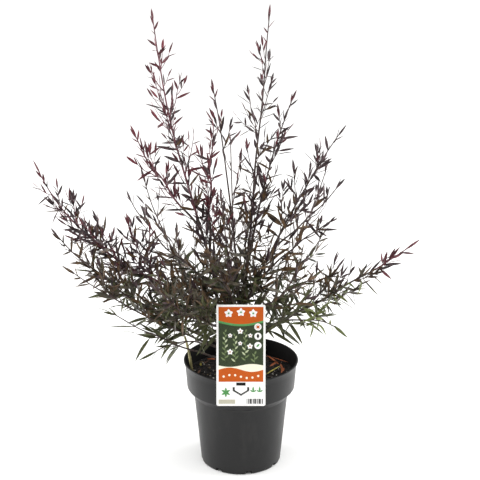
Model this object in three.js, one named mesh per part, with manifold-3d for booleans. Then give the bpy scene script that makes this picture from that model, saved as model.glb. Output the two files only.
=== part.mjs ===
// A young dark-leaved tea tree growing in a black nursery pot, with a plant card hung on the pot's rim.
// Millimetres, +Z up. The origin is the middle of the pot's flat underside, and the front faces -Y.

import * as THREE from "three";
import { mergeVertices } from "three/addons/utils/BufferGeometryUtils.js";
import Module from "manifold-3d";

const wasm = await Module();
wasm.setup();

// The least gap between two pieces that meet, and the shortest edge that a join may leave.
const seatGap = 0.3;
const leastEdge = 0.02;

// The pot: a thin moulded shell with a deep collar, a flared lip and drain slots round its foot.
const pot = {
  height: 157,
  lipRadius: 82.5,
  lipHeight: 2,
  lipWidth: 3,
  collarTopRadius: 80,
  collarTopDrop: 9,
  collarFootRadius: 77.5,
  collarFootHeight: 116,
  bodyTopRadius: 67.8,
  bodyTopHeight: 105,
  footRadius: 57.5,
  footCorner: 3,
  wall: 1.5,
  floor: 2.4,
  sides: 32,
  drainSlots: 8,
  drainWidth: 9,
  drainHeight: 5,
  drainDepth: 7,
};

// The potting mix fills the pot to a little below its lip.
const mix = { top: 135, flatRadius: 16, roughness: 2.2, rings: [34, 54] };

// The plant card leans back from the lip, and its strap hooks over the lip.
const card = {
  width: 68,
  above: 109,
  below: 33,
  thick: 0.8,
  corner: 1.5,
  leanDeg: 13,
  slotWidth: 13,
  slotHeight: 4.5,
  tabHalfWidth: 10.6,
  tabTop: 6.5,
  tabShoulder: 11.5,
  tabPoint: 18,
  tabSlit: 2,
  lipGap: 0.35,
  strapWidth: 8,
  strapThick: 0.8,
  strapLift: 0.8,
  strapDrop: 17,
  strapInset: 1.75,
};

// The trunk stands on the mix, flares at its root and leans slightly to its first fork.
const trunk = {
  top: [5, 1, 252],
  bend: [-6, 3, 205],
  straight: 30,
  flareRadius: 7.6,
  flareHeight: 9,
  footRadius: 5,
  tipRadius: 3.4,
  highestFork: 0.97,
  sides: 8,
  steps: 9,
};

// A bare pale shoot that rises from the low edge of the mix at the left of the pot.
const paleShoot = {
  foot: [-70, -13, mix.top - mix.roughness + seatGap],
  straight: 12,
  middle: [-73, -13, 172],
  tip: [-80, -11, 196],
  radius: 1.7,
  tipRadius: 1,
};

const bough = { sides: 5, steps: 4, tipRadius: 1.3, rootRadius: 0.9, rootGain: 0.0048, seatSpare: 0.15 };
const stem = { sides: 3, steps: 4, tipRadius: 0.8 };
const shoot = { sides: 3, steps: 2, rootRadius: 1.05, tipRadius: 0.7 };

// How limbs sag, how side shoots leave a stem and leaves leave a shoot, and how both taper off towards a tip.
// Places and lengths are shares of the line they belong to, and a pair is a least value and what chance adds.
const growth = {
  goldenDeg: 137.5,
  sagShares: [0.9, 1.7],
  firstShoot: 0.05,
  lastShoot: 0.84,
  shootStray: 0.6,
  shootLeanDeg: 32,
  shootLeanSpreadDeg: 16,
  shootKnee: 0.45,
  shootTaper: 1.05,
  shootLift: 0.32,
  shootLength: [0.75, 0.4],
  shootCuts: [0.3, 0.45, 0.6, 0.75, 0.9, 1],
  firstStemLeaf: 0.07,
  firstShootLeaf: 0.3,
  tipLeaf: 0.985,
  tipLeafPast: 0.9,
  leafStray: 0.5,
  leafLeanDeg: 40,
  leafLeanSpreadDeg: 22,
  tipLeanDeg: 6,
  leafTwistDeg: 50,
  leafShrink: 0.4,
  leafSize: [0.8, 0.35],
};

// Where each kind of choice starts in a line's row of chances, so that no two choices share one.
const draw = {
  shootPlace: 0,
  shootTurn: 50,
  shootLean: 100,
  shootLength: 150,
  leafPlace: 200,
  leafTurn: 250,
  leafLean: 300,
  leafTwist: 350,
  leafSize: 400,
};

// How far apart the seeds of two limbs' shoots are, which is more than a limb has shoots.
const shootSeedStep = 40;

// The largest leaf, how far apart leaves stand on a stem and on a shoot, and the fewest on a shoot.
const leaf = { length: 40, width: 8, thick: 1, broadest: 0.45, stemSpacing: 32, shootSpacing: 27, fewest: 2 };
const tipLeafLength = leaf.length * (1 - growth.leafShrink);

// How far shoots and leaves keep from a limb, the pot, the card, and the space of the next mass.
const clearance = { limb: 1.2, pot: 2, card: 10, shoot: 1.5, leafTip: 0.6, leafTests: [0.35, 0.65] };

// Every limb is one line from its root to the tip of its last leaf. Its bare part is a bough, and the rest is
// the stem of a leafy mass. on, at: what it leaves, and where, as a height above the mix on the trunk or a
// share of another limb. tip: the furthest point. bow: how far the line sags out of straight. bare: the share
// that is bough. shoots, reach: number and length of its side shoots.
const limbs = {
  tall_right: { on: "trunk", at: 117, tip: [40, 20, 668], bow: 0, bare: 0.22, shoots: 8, reach: 140 },
  tall_left: { on: "trunk", at: 50, tip: [-121, 30, 662], bow: 16, bare: 0.4, shoots: 7, reach: 120 },
  far_left: { on: "tall_left", at: 0.1, tip: [-285, 0, 454], bow: 40, bare: 0.26, shoots: 7, reach: 95 },
  left_middle: { on: "trunk", at: 38, tip: [-256, -80, 384], bow: 20, bare: 0.28, shoots: 6, reach: 90 },
  left_front: { on: "trunk", at: 30, tip: [-238, -112, 342], bow: 10, bare: 0.28, shoots: 6, reach: 90 },
  left_back: { on: "tall_left", at: 0.17, tip: [-166, 80, 388], bow: 18, bare: 0.22, shoots: 6, reach: 80 },
  left_upper: { on: "tall_left", at: 0.36, tip: [-154, 42, 492], bow: 8, bare: 0.24, shoots: 5, reach: 75 },
  inner_left: { on: "tall_left", at: 0.27, tip: [-35, -22, 520], bow: -14, bare: 0.26, shoots: 6, reach: 80 },
  centre_back: { on: "trunk", at: 90, tip: [-42, 64, 556], bow: -10, bare: 0.28, shoots: 6, reach: 90 },
  centre_front: { on: "trunk", at: 101, tip: [-27, -32, 424], bow: 8, bare: 0.26, shoots: 4, reach: 65 },
  right_inner: { on: "tall_right", at: 0.12, tip: [77, 34, 546], bow: -8, bare: 0.28, shoots: 5, reach: 75 },
  right_upper: { on: "trunk", at: 94, tip: [146, 50, 490], bow: -8, bare: 0.38, shoots: 6, reach: 85 },
  right_middle: { on: "right_upper", at: 0.34, tip: [140, -30, 435], bow: 4, bare: 0.24, shoots: 5, reach: 75 },
  right_front: { on: "right_upper", at: 0.17, tip: [134, -76, 398], bow: -6, bare: 0.3, shoots: 5, reach: 75 },
  right_low: { on: "trunk", at: 52, tip: [242, -40, 348], bow: 4, bare: 0.32, shoots: 7, reach: 85 },
  right_foot: { on: "trunk", at: 33, tip: [143, -112, 242], bow: -34, bare: 0.38, shoots: 4, reach: 60 },
  left_foot: { on: "trunk", at: 22, tip: [-130, -116, 208], bow: -26, bare: 0.42, shoots: 4, reach: 60 },
  left_skirt: { on: "trunk", at: 13, tip: [-186, -92, 272], bow: 8, bare: 0.34, shoots: 5, reach: 70 },
  front_left: { on: "trunk", at: 70, tip: [-118, -168, 340], bow: 14, bare: 0.26, shoots: 6, reach: 80 },
  front_centre: { on: "trunk", at: 79, tip: [-50, -118, 366], bow: -10, bare: 0.28, shoots: 5, reach: 66 },
  front_right: { on: "trunk", at: 84, tip: [98, -142, 336], bow: -2, bare: 0.32, shoots: 5, reach: 74 },
  back_left: { on: "trunk", at: 45, tip: [-150, 178, 392], bow: 30, bare: 0.3, shoots: 6, reach: 95 },
  back_left_low: { on: "trunk", at: 26, tip: [-118, 176, 292], bow: 8, bare: 0.32, shoots: 5, reach: 80 },
  back_middle: { on: "trunk", at: 74, tip: [-16, 196, 452], bow: 30, bare: 0.3, shoots: 6, reach: 95 },
  back_right: { on: "trunk", at: 65, tip: [132, 172, 410], bow: 26, bare: 0.3, shoots: 6, reach: 95 },
  back_right_low: { on: "trunk", at: 43, tip: [128, 158, 300], bow: 6, bare: 0.32, shoots: 5, reach: 80 },
};

// Leaf colour by where the mass stands: redder up the left, greener round the foot.
const reddish = ["tall_left", "left_upper", "inner_left"];
const greenish = ["right_foot", "left_foot", "left_skirt", "back_left_low", "back_right_low"];

const materials = {
  potPlastic: new THREE.MeshStandardMaterial({ color: "#3b3b3b", roughness: 0.5, metalness: 0 }),
  pottingMix: new THREE.MeshStandardMaterial({ color: "#1b1613", roughness: 0.95, metalness: 0 }),
  cardPlastic: new THREE.MeshStandardMaterial({ color: "#f6f4ef", roughness: 0.4, metalness: 0 }),
  bark: new THREE.MeshStandardMaterial({ color: "#5a4038", roughness: 0.85, metalness: 0 }),
  paleShoot: new THREE.MeshStandardMaterial({ color: "#8c8453", roughness: 0.6, metalness: 0 }),
  darkLeaf: new THREE.MeshStandardMaterial({ color: "#3c3234", roughness: 0.5, metalness: 0 }),
  redLeaf: new THREE.MeshStandardMaterial({ color: "#5b3139", roughness: 0.5, metalness: 0 }),
  greenLeaf: new THREE.MeshStandardMaterial({ color: "#444a33", roughness: 0.5, metalness: 0 }),
};

const up = new THREE.Vector3(0, 0, 1);
const radians = THREE.MathUtils.degToRad;

// A measure that changes evenly along a line, from one value to another.
const even = (from, to) => (share) => from + (to - from) * share;

// A number from 0 to 1 that is always the same for the same seed and step.
function chance(seed, step) {
  const value = Math.sin(seed * 127.1 + step * 311.7) * 43758.5453;
  return value - Math.floor(value);
}

// Solids, joined and cut

function toSolid(geometry) {
  const bare = geometry.clone();
  bare.deleteAttribute("normal");
  bare.deleteAttribute("uv");
  const merged = mergeVertices(bare, 1e-4);
  return new wasm.Manifold(
    new wasm.Mesh({
      numProp: 3,
      vertProperties: new Float32Array(merged.attributes.position.array),
      triVerts: new Uint32Array(merged.index.array),
    }),
  );
}

// The mesh of a solid's largest body, without the slivers, loose scraps and sealed hollows that joining
// leaves.
function fromSolid(solid) {
  const bodies = solid.simplify(leastEdge).decompose();
  const mesh = bodies.sort((a, b) => b.volume() - a.volume())[0].getMesh();
  return new THREE.BufferGeometry()
    .setAttribute("position", new THREE.BufferAttribute(mesh.vertProperties, 3))
    .setIndex(new THREE.BufferAttribute(mesh.triVerts, 1));
}

function joined(geometries) {
  return geometries.map(toSolid).reduce((whole, piece) => whole.add(piece));
}

// Lines and tubes

// A unit vector square to a direction. No shoot lies level along the reference it is measured from.
function sideways(direction) {
  return new THREE.Vector3(0.6, 0.8, 0).cross(direction).normalize();
}

// Rings along a path: centre, and two unit vectors across it, carried from ring to ring without twist.
function ringsAlong(path, steps) {
  const rings = [];
  let across = null;
  for (let i = 0; i <= steps; i++) {
    const along = path.getTangent(i / steps);
    across = across ? across.clone().addScaledVector(along, -across.dot(along)).normalize() : sideways(along);
    rings.push({ centre: path.getPoint(i / steps), across, square: across.clone().cross(along) });
  }
  return rings;
}

// A closed cylinder whose rings are laid along the path, each with its own radius.
function tube(path, radiusAt, sides, steps) {
  const geometry = new THREE.CylinderGeometry(1, 1, 1, sides, steps);
  const position = geometry.attributes.position;
  const rings = ringsAlong(path, steps);
  for (let i = 0; i < position.count; i++) {
    const share = position.getY(i) + 0.5;
    const ring = rings[Math.round(share * steps)];
    const radius = radiusAt(share);
    const point = ring.centre
      .clone()
      .addScaledVector(ring.across, position.getX(i) * radius)
      .addScaledVector(ring.square, position.getZ(i) * radius);
    position.setXYZ(i, point.x, point.y, point.z);
  }
  return geometry;
}

// A share of a path, from one end value to another.
class Stretch extends THREE.Curve {
  constructor(path, from, to) {
    super();
    this.path = path;
    this.from = from;
    this.to = to;
  }

  getPoint(share, target = new THREE.Vector3()) {
    return target.copy(this.path.getPoint(this.from + (this.to - this.from) * share));
  }
}

// A line from root to tip that sags out of straight by bow, most of it in the outer half.
function bowedLine(root, tip, bow) {
  const chord = tip.clone().sub(root);
  const along = chord.clone().normalize();
  const sag = up.clone().addScaledVector(along, -up.dot(along)).normalize().negate();
  return new THREE.CubicBezierCurve3(
    root,
    root.clone().addScaledVector(chord, 1 / 3).addScaledVector(sag, growth.sagShares[0] * bow),
    root.clone().addScaledVector(chord, 2 / 3).addScaledVector(sag, growth.sagShares[1] * bow),
    tip,
  );
}

// The pot and its mix

const rimInnerRadius = pot.lipRadius - pot.lipWidth;
const collarTop = pot.height - pot.collarTopDrop;

// Radius of the pot's inner wall at a height, following the outer wall one wall thickness in.
function innerRadius(height) {
  const steps = [
    [pot.floor, pot.footRadius - pot.wall],
    [pot.bodyTopHeight + pot.wall / 2, pot.bodyTopRadius - pot.wall],
    [pot.collarFootHeight + pot.wall / 2, pot.collarFootRadius - pot.wall],
    [collarTop, pot.collarTopRadius - pot.wall],
    [pot.height, rimInnerRadius],
  ];
  const next = Math.max(1, steps.findIndex(([z]) => z >= height));
  const [z0, r0] = steps[next - 1];
  const [z1, r1] = steps[next];
  return r0 + ((r1 - r0) * (height - z0)) / (z1 - z0);
}

function potGeometry() {
  const outline = [
    [0, 0],
    [pot.footRadius - pot.footCorner, 0],
    [pot.footRadius, pot.footCorner],
    [pot.bodyTopRadius, pot.bodyTopHeight],
    [pot.collarFootRadius, pot.collarFootHeight],
    [pot.collarTopRadius, collarTop],
    [pot.lipRadius, pot.height - pot.lipHeight],
    [pot.lipRadius, pot.height],
    [rimInnerRadius, pot.height],
    [innerRadius(collarTop), collarTop],
    [pot.collarFootRadius - pot.wall, pot.collarFootHeight + pot.wall / 2],
    [pot.bodyTopRadius - pot.wall, pot.bodyTopHeight + pot.wall / 2],
    [pot.footRadius - pot.wall, pot.floor],
    [0, pot.floor],
  ].map(([r, z]) => new THREE.Vector2(r, z));
  const shell = new THREE.LatheGeometry(outline, pot.sides).rotateX(Math.PI / 2);
  let solid = toSolid(shell);
  for (let i = 0; i < pot.drainSlots; i++) {
    const cutter = new THREE.BoxGeometry(2 * pot.drainDepth, pot.drainWidth, 2 * pot.drainHeight)
      .translate(pot.footRadius, 0, 0)
      .rotateZ(((i + 0.25) * 2 * Math.PI) / pot.drainSlots);
    solid = solid.subtract(toSolid(cutter));
  }
  return fromSolid(solid);
}

// The mix keeps the seat gap to the pot's wall and floor, and its top is lumpy except under the trunk.
function mixGeometry() {
  const inset = seatGap / Math.cos(Math.PI / pot.sides);
  const foot = pot.floor + seatGap;
  const wallSteps = [foot, pot.bodyTopHeight + pot.wall / 2, pot.collarFootHeight + pot.wall / 2];
  const outline = [
    [0, foot],
    ...wallSteps.map((z) => [innerRadius(z) - inset - (z === foot ? pot.footCorner : 0), z]),
    [innerRadius(mix.top) - inset, mix.top - mix.roughness],
    ...mix.rings.map((r) => [r, mix.top]).reverse(),
    [mix.flatRadius, mix.top],
    [0, mix.top],
  ].map(([r, z]) => new THREE.Vector2(r, z));
  const geometry = new THREE.LatheGeometry(outline, pot.sides / 2).rotateX(Math.PI / 2);
  const position = geometry.attributes.position;
  for (let i = 0; i < position.count; i++) {
    const [x, y, z] = [position.getX(i), position.getY(i), position.getZ(i)];
    const lumpy = z > mix.top - 0.1 && Math.hypot(x, y) > mix.flatRadius + 1;
    if (lumpy) position.setZ(i, z - mix.roughness * chance(Math.round(x), Math.round(y)));
  }
  return geometry;
}

// The plant card

const lean = radians(card.leanDeg);
const cardNormal = new THREE.Vector3(0, -Math.cos(lean), Math.sin(lean));
const cardUp = new THREE.Vector3(0, Math.sin(lean), Math.cos(lean));
// The middle of the card's back face at the height of the lip's outer edge.
const cardOrigin = new THREE.Vector3(0, -pot.lipRadius, pot.height).addScaledVector(cardNormal, card.lipGap);

function cardGeometry() {
  const { width, above, below, corner } = card;
  const face = new THREE.Shape();
  const half = width / 2;
  face.moveTo(-half + corner, -below);
  face.lineTo(half - corner, -below);
  face.lineTo(half, -below + corner);
  face.lineTo(half, above - corner);
  face.lineTo(half - corner, above);
  face.lineTo(-half + corner, above);
  face.lineTo(-half, above - corner);
  face.lineTo(-half, -below + corner);

  // The slot that the strap passes through, and the pointed tab under it, left by one bent slit.
  const rectangle = [
    [-card.slotWidth / 2, -card.slotHeight],
    [card.slotWidth / 2, -card.slotHeight],
    [card.slotWidth / 2, 0],
    [-card.slotWidth / 2, 0],
  ];
  const outer = card.tabHalfWidth;
  const inner = outer - card.tabSlit;
  const slit = [
    [-outer, -card.tabTop],
    [-outer, -card.tabShoulder],
    [0, -card.tabPoint],
    [outer, -card.tabShoulder],
    [outer, -card.tabTop],
    [inner, -card.tabTop],
    [inner, -card.tabShoulder + card.tabSlit / 3],
    [0, -card.tabPoint + card.tabSlit],
    [-inner, -card.tabShoulder + card.tabSlit / 3],
    [-inner, -card.tabTop],
  ];
  for (const hole of [rectangle, slit]) {
    face.holes.push(new THREE.Path(hole.map(([x, y]) => new THREE.Vector2(x, y))));
  }
  const plate = new THREE.ExtrudeGeometry(face, { depth: card.thick, bevelEnabled: false });
  plate.applyMatrix4(
    new THREE.Matrix4().makeBasis(new THREE.Vector3(1, 0, 0), cardUp, cardNormal).setPosition(cardOrigin),
  );

  // The strap, seen from the side: out of the card above the slot, over the lip and down inside the wall.
  const frontY = cardOrigin.y - card.thick / 2;
  const overZ = pot.height + card.strapLift;
  const bottomZ = pot.height - card.strapDrop;
  const insideY = -innerRadius(bottomZ) + card.strapInset;
  const side = new THREE.Shape(
    [
      [frontY, overZ],
      [insideY, overZ],
      [insideY, bottomZ],
      [insideY + card.strapThick, bottomZ],
      [insideY + card.strapThick, overZ + card.strapThick],
      [frontY, overZ + card.strapThick],
    ].map(([y, z]) => new THREE.Vector2(y, z)),
  );
  const strap = new THREE.ExtrudeGeometry(side, { depth: card.strapWidth, bevelEnabled: false });
  strap.applyMatrix4(
    new THREE.Matrix4()
      .makeBasis(new THREE.Vector3(0, 1, 0), new THREE.Vector3(0, 0, 1), new THREE.Vector3(1, 0, 0))
      .setPosition(-card.strapWidth / 2, 0, 0),
  );
  return fromSolid(joined([plate, strap]));
}

// The trunk

// A line that rises square from the mix, so that its foot is flat, and then bends over to its tip.
function risingLine([x, y, surface], straight, bend, tip) {
  return new THREE.CubicBezierCurve3(
    new THREE.Vector3(x, y, surface + seatGap),
    new THREE.Vector3(x, y, surface + seatGap + straight),
    new THREE.Vector3(...bend),
    new THREE.Vector3(...tip),
  );
}

const trunkPath = risingLine([0, 0, mix.top], trunk.straight, trunk.bend, trunk.top);

// The root flare fades out upwards, and above it the trunk tapers evenly.
function trunkRadius(share) {
  const height = share * (trunk.top[2] - mix.top);
  const flare = (trunk.flareRadius - trunk.footRadius) * Math.max(0, 1 - height / trunk.flareHeight) ** 2;
  return flare + trunk.footRadius + (trunk.tipRadius - trunk.footRadius) * share;
}

// The limbs: a named line each, with the bough part, the leafy part and where they meet

function layLimbs() {
  const laid = new Map();
  Object.entries(limbs).forEach(([name, size], index) => {
    const parent = laid.get(size.on);
    const parentPath = parent ? parent.line : trunkPath;
    const share = parent ? size.at : Math.min(size.at / (trunk.top[2] - mix.top), trunk.highestFork);
    const line = bowedLine(parentPath.getPoint(share), new THREE.Vector3(...size.tip), size.bow);
    const length = line.getLength();
    const root = bough.rootRadius + bough.rootGain * length;
    const stemEnd = 1 - (growth.tipLeafPast * tipLeafLength) / length;
    laid.set(name, {
      ...size,
      seed: index + 1,
      parent,
      line,
      length,
      root,
      boughPath: new Stretch(line, 0, size.bare),
      boughRadius: even(root, bough.tipRadius),
      stemPath: new Stretch(line, size.bare + seatGap / length, stemEnd),
    });
  });
  return laid;
}

const laidLimbs = layLimbs();

// The parent's solid grown by the seat gap, and lengthened a little past its tip, to cut a bough's seat.
function grownParent(limb) {
  const extra = seatGap + bough.seatSpare;
  if (limb.parent) {
    const { line, length, bare, boughRadius } = limb.parent;
    const path = new Stretch(line, 0, bare + extra / length);
    return tube(path, (at) => boughRadius(at) + extra, bough.sides, bough.steps);
  }
  const path = new Stretch(trunkPath, 0, 1 + extra / (trunk.top[2] - mix.top));
  return tube(path, (at) => trunkRadius(at) + extra, trunk.sides, trunk.steps);
}

function boughGeometry(limb) {
  const whole = tube(limb.boughPath, limb.boughRadius, bough.sides, bough.steps);
  return fromSolid(toSolid(whole).subtract(toSolid(grownParent(limb))));
}

// Each mass keeps the space that is nearer its own stem than any other stem

const stemSamples = 14;
for (const limb of laidLimbs.values()) {
  limb.stemPoints = limb.stemPath.getPoints(stemSamples);
  limb.boughPoints = limb.boughPath.getPoints(stemSamples);
}
const trunkPoints = trunkPath.getPoints(stemSamples);

const nearest = new THREE.Vector3();
function distanceToLine(point, points) {
  let least = Infinity;
  for (let i = 1; i < points.length; i++) {
    new THREE.Line3(points[i - 1], points[i]).closestPointToPoint(point, true, nearest);
    least = Math.min(least, nearest.distanceTo(point));
  }
  return least;
}

function clearOfPotAndCard(point, margin) {
  const overPot = Math.hypot(point.x, point.y) < pot.lipRadius + margin && point.z < pot.height + margin;
  const fromCard = point.clone().sub(cardOrigin);
  const height = fromCard.dot(cardUp);
  const nearCard =
    Math.abs(point.x) < card.width / 2 + margin &&
    height > -card.below - margin &&
    height < card.above + margin &&
    Math.abs(fromCard.dot(cardNormal)) < clearance.card;
  return !overPot && !nearCard;
}

function inOwnSpace(limb, point, margin) {
  if (!clearOfPotAndCard(point, margin + clearance.pot)) return false;
  if (distanceToLine(point, trunkPoints) < trunk.footRadius + clearance.limb + margin) return false;
  const own = distanceToLine(point, limb.stemPoints);
  for (const other of laidLimbs.values()) {
    const toBough = distanceToLine(point, other.boughPoints);
    if (toBough < other.root + clearance.limb + margin) return false;
    if (other !== limb && distanceToLine(point, other.stemPoints) < own + 2 * margin) return false;
  }
  return true;
}

// Shoots and leaves

// A direction that leans out from a line's own direction, turned about it.
function leaning(along, turn, leanAngle) {
  const across = sideways(along);
  const square = across.clone().cross(along);
  return along
    .clone()
    .multiplyScalar(Math.cos(leanAngle))
    .addScaledVector(across, Math.sin(leanAngle) * Math.cos(turn))
    .addScaledVector(square, Math.sin(leanAngle) * Math.sin(turn));
}

// The side shoots of a limb's stem: each leaves at its own turn of a spiral and lifts towards the light.
function sideShoots(limb) {
  const found = [];
  for (let i = 0; i < limb.shoots; i++) {
    const spread = growth.lastShoot - growth.firstShoot;
    const stray = growth.shootStray * chance(limb.seed, draw.shootPlace + i);
    const at = growth.firstShoot + (spread * (i + stray)) / limb.shoots;
    const turn = radians(growth.goldenDeg * i + 360 * chance(limb.seed, draw.shootTurn));
    const wander = growth.shootLeanSpreadDeg * (chance(limb.seed, draw.shootLean + i) - 0.5);
    const size = growth.shootLength[0] + growth.shootLength[1] * chance(limb.seed, draw.shootLength + i);
    const length = limb.reach * (1 - at) ** growth.shootTaper * size;
    const root = limb.stemPath.getPoint(at);
    const start = leaning(limb.stemPath.getTangent(at), turn, radians(growth.shootLeanDeg + wander));
    const end = start.clone().addScaledVector(up, growth.shootLift).normalize();
    const line = new THREE.QuadraticBezierCurve3(
      root,
      root.clone().addScaledVector(start, growth.shootKnee * length),
      root.clone().addScaledVector(end, length),
    );
    const kept = keptShare(limb, line);
    const seed = limb.seed * shootSeedStep + i;
    if (kept > 0) found.push({ path: new Stretch(line, 0, kept), length: length * kept, seed });
  }
  return found;
}

// How much of a shoot stays in its mass's own space: it is cut back to that, or left out.
function keptShare(limb, line) {
  const cuts = growth.shootCuts;
  const firstOut = cuts.findIndex((share) => !inOwnSpace(limb, line.getPoint(share), clearance.shoot));
  if (firstOut === -1) return 1;
  return firstOut < 2 ? 0 : cuts[firstOut - 1];
}

// A leaf is a six-sided solid: long, narrow, pointed at both ends, flat below and ridged along its midrib.
// The sphere's one ring is an even triangle, root three wide and one and a half deep.
function leafGeometry(root, direction, twist, length, width) {
  const across = sideways(direction);
  const square = across.clone().cross(direction);
  const wide = across.clone().multiplyScalar(Math.cos(twist)).addScaledVector(square, Math.sin(twist));
  const deep = direction.clone().cross(wide);
  const geometry = new THREE.SphereGeometry(1, 3, 2);
  const position = geometry.attributes.position;
  for (let i = 0; i < position.count; i++) {
    const along = position.getY(i);
    const reach = along > 0.5 ? length : along < -0.5 ? 0 : leaf.broadest * length;
    const point = root
      .clone()
      .addScaledVector(direction, reach)
      .addScaledVector(wide, (position.getZ(i) * width) / Math.sqrt(3))
      .addScaledVector(deep, (position.getX(i) * leaf.thick) / 1.5);
    position.setXYZ(i, point.x, point.y, point.z);
  }
  return geometry;
}

// Leaves in a spiral along a path, smaller towards its tip, and one at the tip itself.
function leavesAlong(limb, path, seed, count, first) {
  const found = [];
  for (let i = 0; i < count; i++) {
    const atTip = i === count - 1;
    const stray = growth.leafStray * chance(seed, draw.leafPlace + i);
    const at = atTip ? growth.tipLeaf : first + ((1 - first) * (i + stray)) / count;
    const turn = radians(growth.goldenDeg * i + 360 * chance(seed, draw.leafTurn));
    const wander = growth.leafLeanSpreadDeg * (chance(seed, draw.leafLean + i) - 0.5);
    const leanDeg = atTip ? growth.tipLeanDeg : growth.leafLeanDeg + wander;
    const direction = leaning(path.getTangent(at), turn, radians(leanDeg));
    const twist = radians(2 * growth.leafTwistDeg * (chance(seed, draw.leafTwist + i) - 0.5));
    const [least, more] = growth.leafSize;
    const size = (1 - growth.leafShrink * at) * (atTip ? 1 : least + more * chance(seed, draw.leafSize + i));
    const root = path.getPoint(at);
    const length = leaf.length * size;
    const width = leaf.width * Math.sqrt(size);
    const clearAt = (share, margin) =>
      inOwnSpace(limb, root.clone().addScaledVector(direction, share * length), margin);
    if (clearance.leafTests.every((share) => clearAt(share, width / 2)) && clearAt(1, clearance.leafTip)) {
      found.push(leafGeometry(root, direction, twist, length, width));
    }
  }
  return found;
}

function massGeometry(limb) {
  const stemLength = limb.length * (1 - limb.bare);
  const stemTube = tube(limb.stemPath, even(bough.tipRadius, stem.tipRadius), stem.sides, stem.steps);
  const stemCount = Math.round(stemLength / leaf.stemSpacing);
  const pieces = [stemTube, ...leavesAlong(limb, limb.stemPath, limb.seed, stemCount, growth.firstStemLeaf)];
  for (const side of sideShoots(limb)) {
    pieces.push(tube(side.path, even(shoot.rootRadius, shoot.tipRadius), shoot.sides, shoot.steps));
    const count = Math.max(leaf.fewest, Math.round(side.length / leaf.shootSpacing));
    pieces.push(...leavesAlong(limb, side.path, side.seed, count, growth.firstShootLeaf));
  }
  return fromSolid(joined(pieces));
}

function paleShootGeometry() {
  const path = risingLine(paleShoot.foot, paleShoot.straight, paleShoot.middle, paleShoot.tip);
  return tube(path, even(paleShoot.radius, paleShoot.tipRadius), bough.sides, bough.steps);
}

// The assembly: one named mesh for each piece

const plant = new THREE.Group();
plant.name = "potted_tea_tree";

function addPiece(name, geometry, material) {
  const mesh = new THREE.Mesh(geometry, material);
  mesh.name = name;
  plant.add(mesh);
}

addPiece("pot", potGeometry(), materials.potPlastic);
addPiece("potting_mix", mixGeometry(), materials.pottingMix);
addPiece("plant_card", cardGeometry(), materials.cardPlastic);
addPiece("trunk", tube(trunkPath, trunkRadius, trunk.sides, trunk.steps), materials.bark);
addPiece("pale_shoot", paleShootGeometry(), materials.paleShoot);
for (const [name, limb] of laidLimbs) {
  const green = greenish.includes(name) ? materials.greenLeaf : materials.darkLeaf;
  const leafMaterial = reddish.includes(name) ? materials.redLeaf : green;
  addPiece(`bough_${name}`, boughGeometry(limb), materials.bark);
  addPiece(`foliage_${name}`, massGeometry(limb), leafMaterial);
}

export default plant;
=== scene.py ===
import math

import bpy
import numpy as np
from mathutils.geometry import tessellate_polygon
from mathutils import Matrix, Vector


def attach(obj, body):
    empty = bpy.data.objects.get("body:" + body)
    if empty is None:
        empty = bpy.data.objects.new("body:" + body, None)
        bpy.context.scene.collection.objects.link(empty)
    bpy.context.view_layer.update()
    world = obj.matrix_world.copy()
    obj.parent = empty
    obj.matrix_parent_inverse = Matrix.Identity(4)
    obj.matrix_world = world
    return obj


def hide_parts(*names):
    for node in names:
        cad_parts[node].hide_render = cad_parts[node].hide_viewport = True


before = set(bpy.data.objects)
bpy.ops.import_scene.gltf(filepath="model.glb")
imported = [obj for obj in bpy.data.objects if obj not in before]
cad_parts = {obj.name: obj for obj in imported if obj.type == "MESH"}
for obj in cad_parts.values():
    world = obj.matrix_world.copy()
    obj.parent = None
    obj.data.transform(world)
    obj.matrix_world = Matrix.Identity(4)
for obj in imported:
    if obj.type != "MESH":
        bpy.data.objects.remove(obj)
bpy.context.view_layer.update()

# A young dark-leaved tea tree in its black nursery pot. Lengths are in millimetres until a mesh is made.

metresPerMm = 0.001


# Colours, nodes and meshes

def linearColour(hexCode):
    # sRGB to linear: v / 12.92 where nearly black, ((v + 0.055) / 1.055) ** 2.4 above
    values = np.array([int(hexCode[i:i + 2], 16) / 255 for i in (1, 3, 5)])
    linear = np.where(values <= 0.04045, values / 12.92, ((values + 0.055) / 1.055) ** 2.4)
    return (*linear.tolist(), 1.0)


def addNode(tree, kind, inputs=None, **settings):
    # one node with its settings; an input is a value, or another node's socket that is linked to it
    made = tree.nodes.new(kind)
    for key, value in settings.items():
        setattr(made, key, value)
    for key, value in (inputs or {}).items():
        if isinstance(value, bpy.types.NodeSocket):
            tree.links.new(value, made.inputs[key])
        else:
            made.inputs[key].default_value = value
    return made


def newTree(name):
    material = bpy.data.materials.new(name)
    material.use_nodes = True
    material.node_tree.nodes.clear()
    return material, material.node_tree


def objectPlace(tree):
    return addNode(tree, "ShaderNodeTexCoord").outputs["Object"]


def stretched(tree, place, scale):
    return addNode(tree, "ShaderNodeMapping", {"Vector": place, "Scale": scale}).outputs["Vector"]


def noiseOn(tree, place, grainsPerMm, detail, roughness=0.5):
    return addNode(tree, "ShaderNodeTexNoise", {
        "Vector": place, "Scale": grainsPerMm / metresPerMm, "Detail": detail, "Roughness": roughness,
    }).outputs["Fac"]


def ranged(tree, value, source, target=(0.0, 1.0)):
    # a value carried from one range to another, and held inside it
    return addNode(tree, "ShaderNodeMapRange", {
        "Value": value,
        "From Min": source[0], "From Max": source[1],
        "To Min": target[0], "To Max": target[1],
    }).outputs["Result"]


def blended(tree, share, *colours):
    # from the first colour to the second by the share; each is a hex code or another node's socket
    first, second = (linearColour(colour) if isinstance(colour, str) else colour for colour in colours)
    return addNode(tree, "ShaderNodeMix", {0: share, 6: first, 7: second}, data_type="RGBA").outputs[2]


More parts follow.
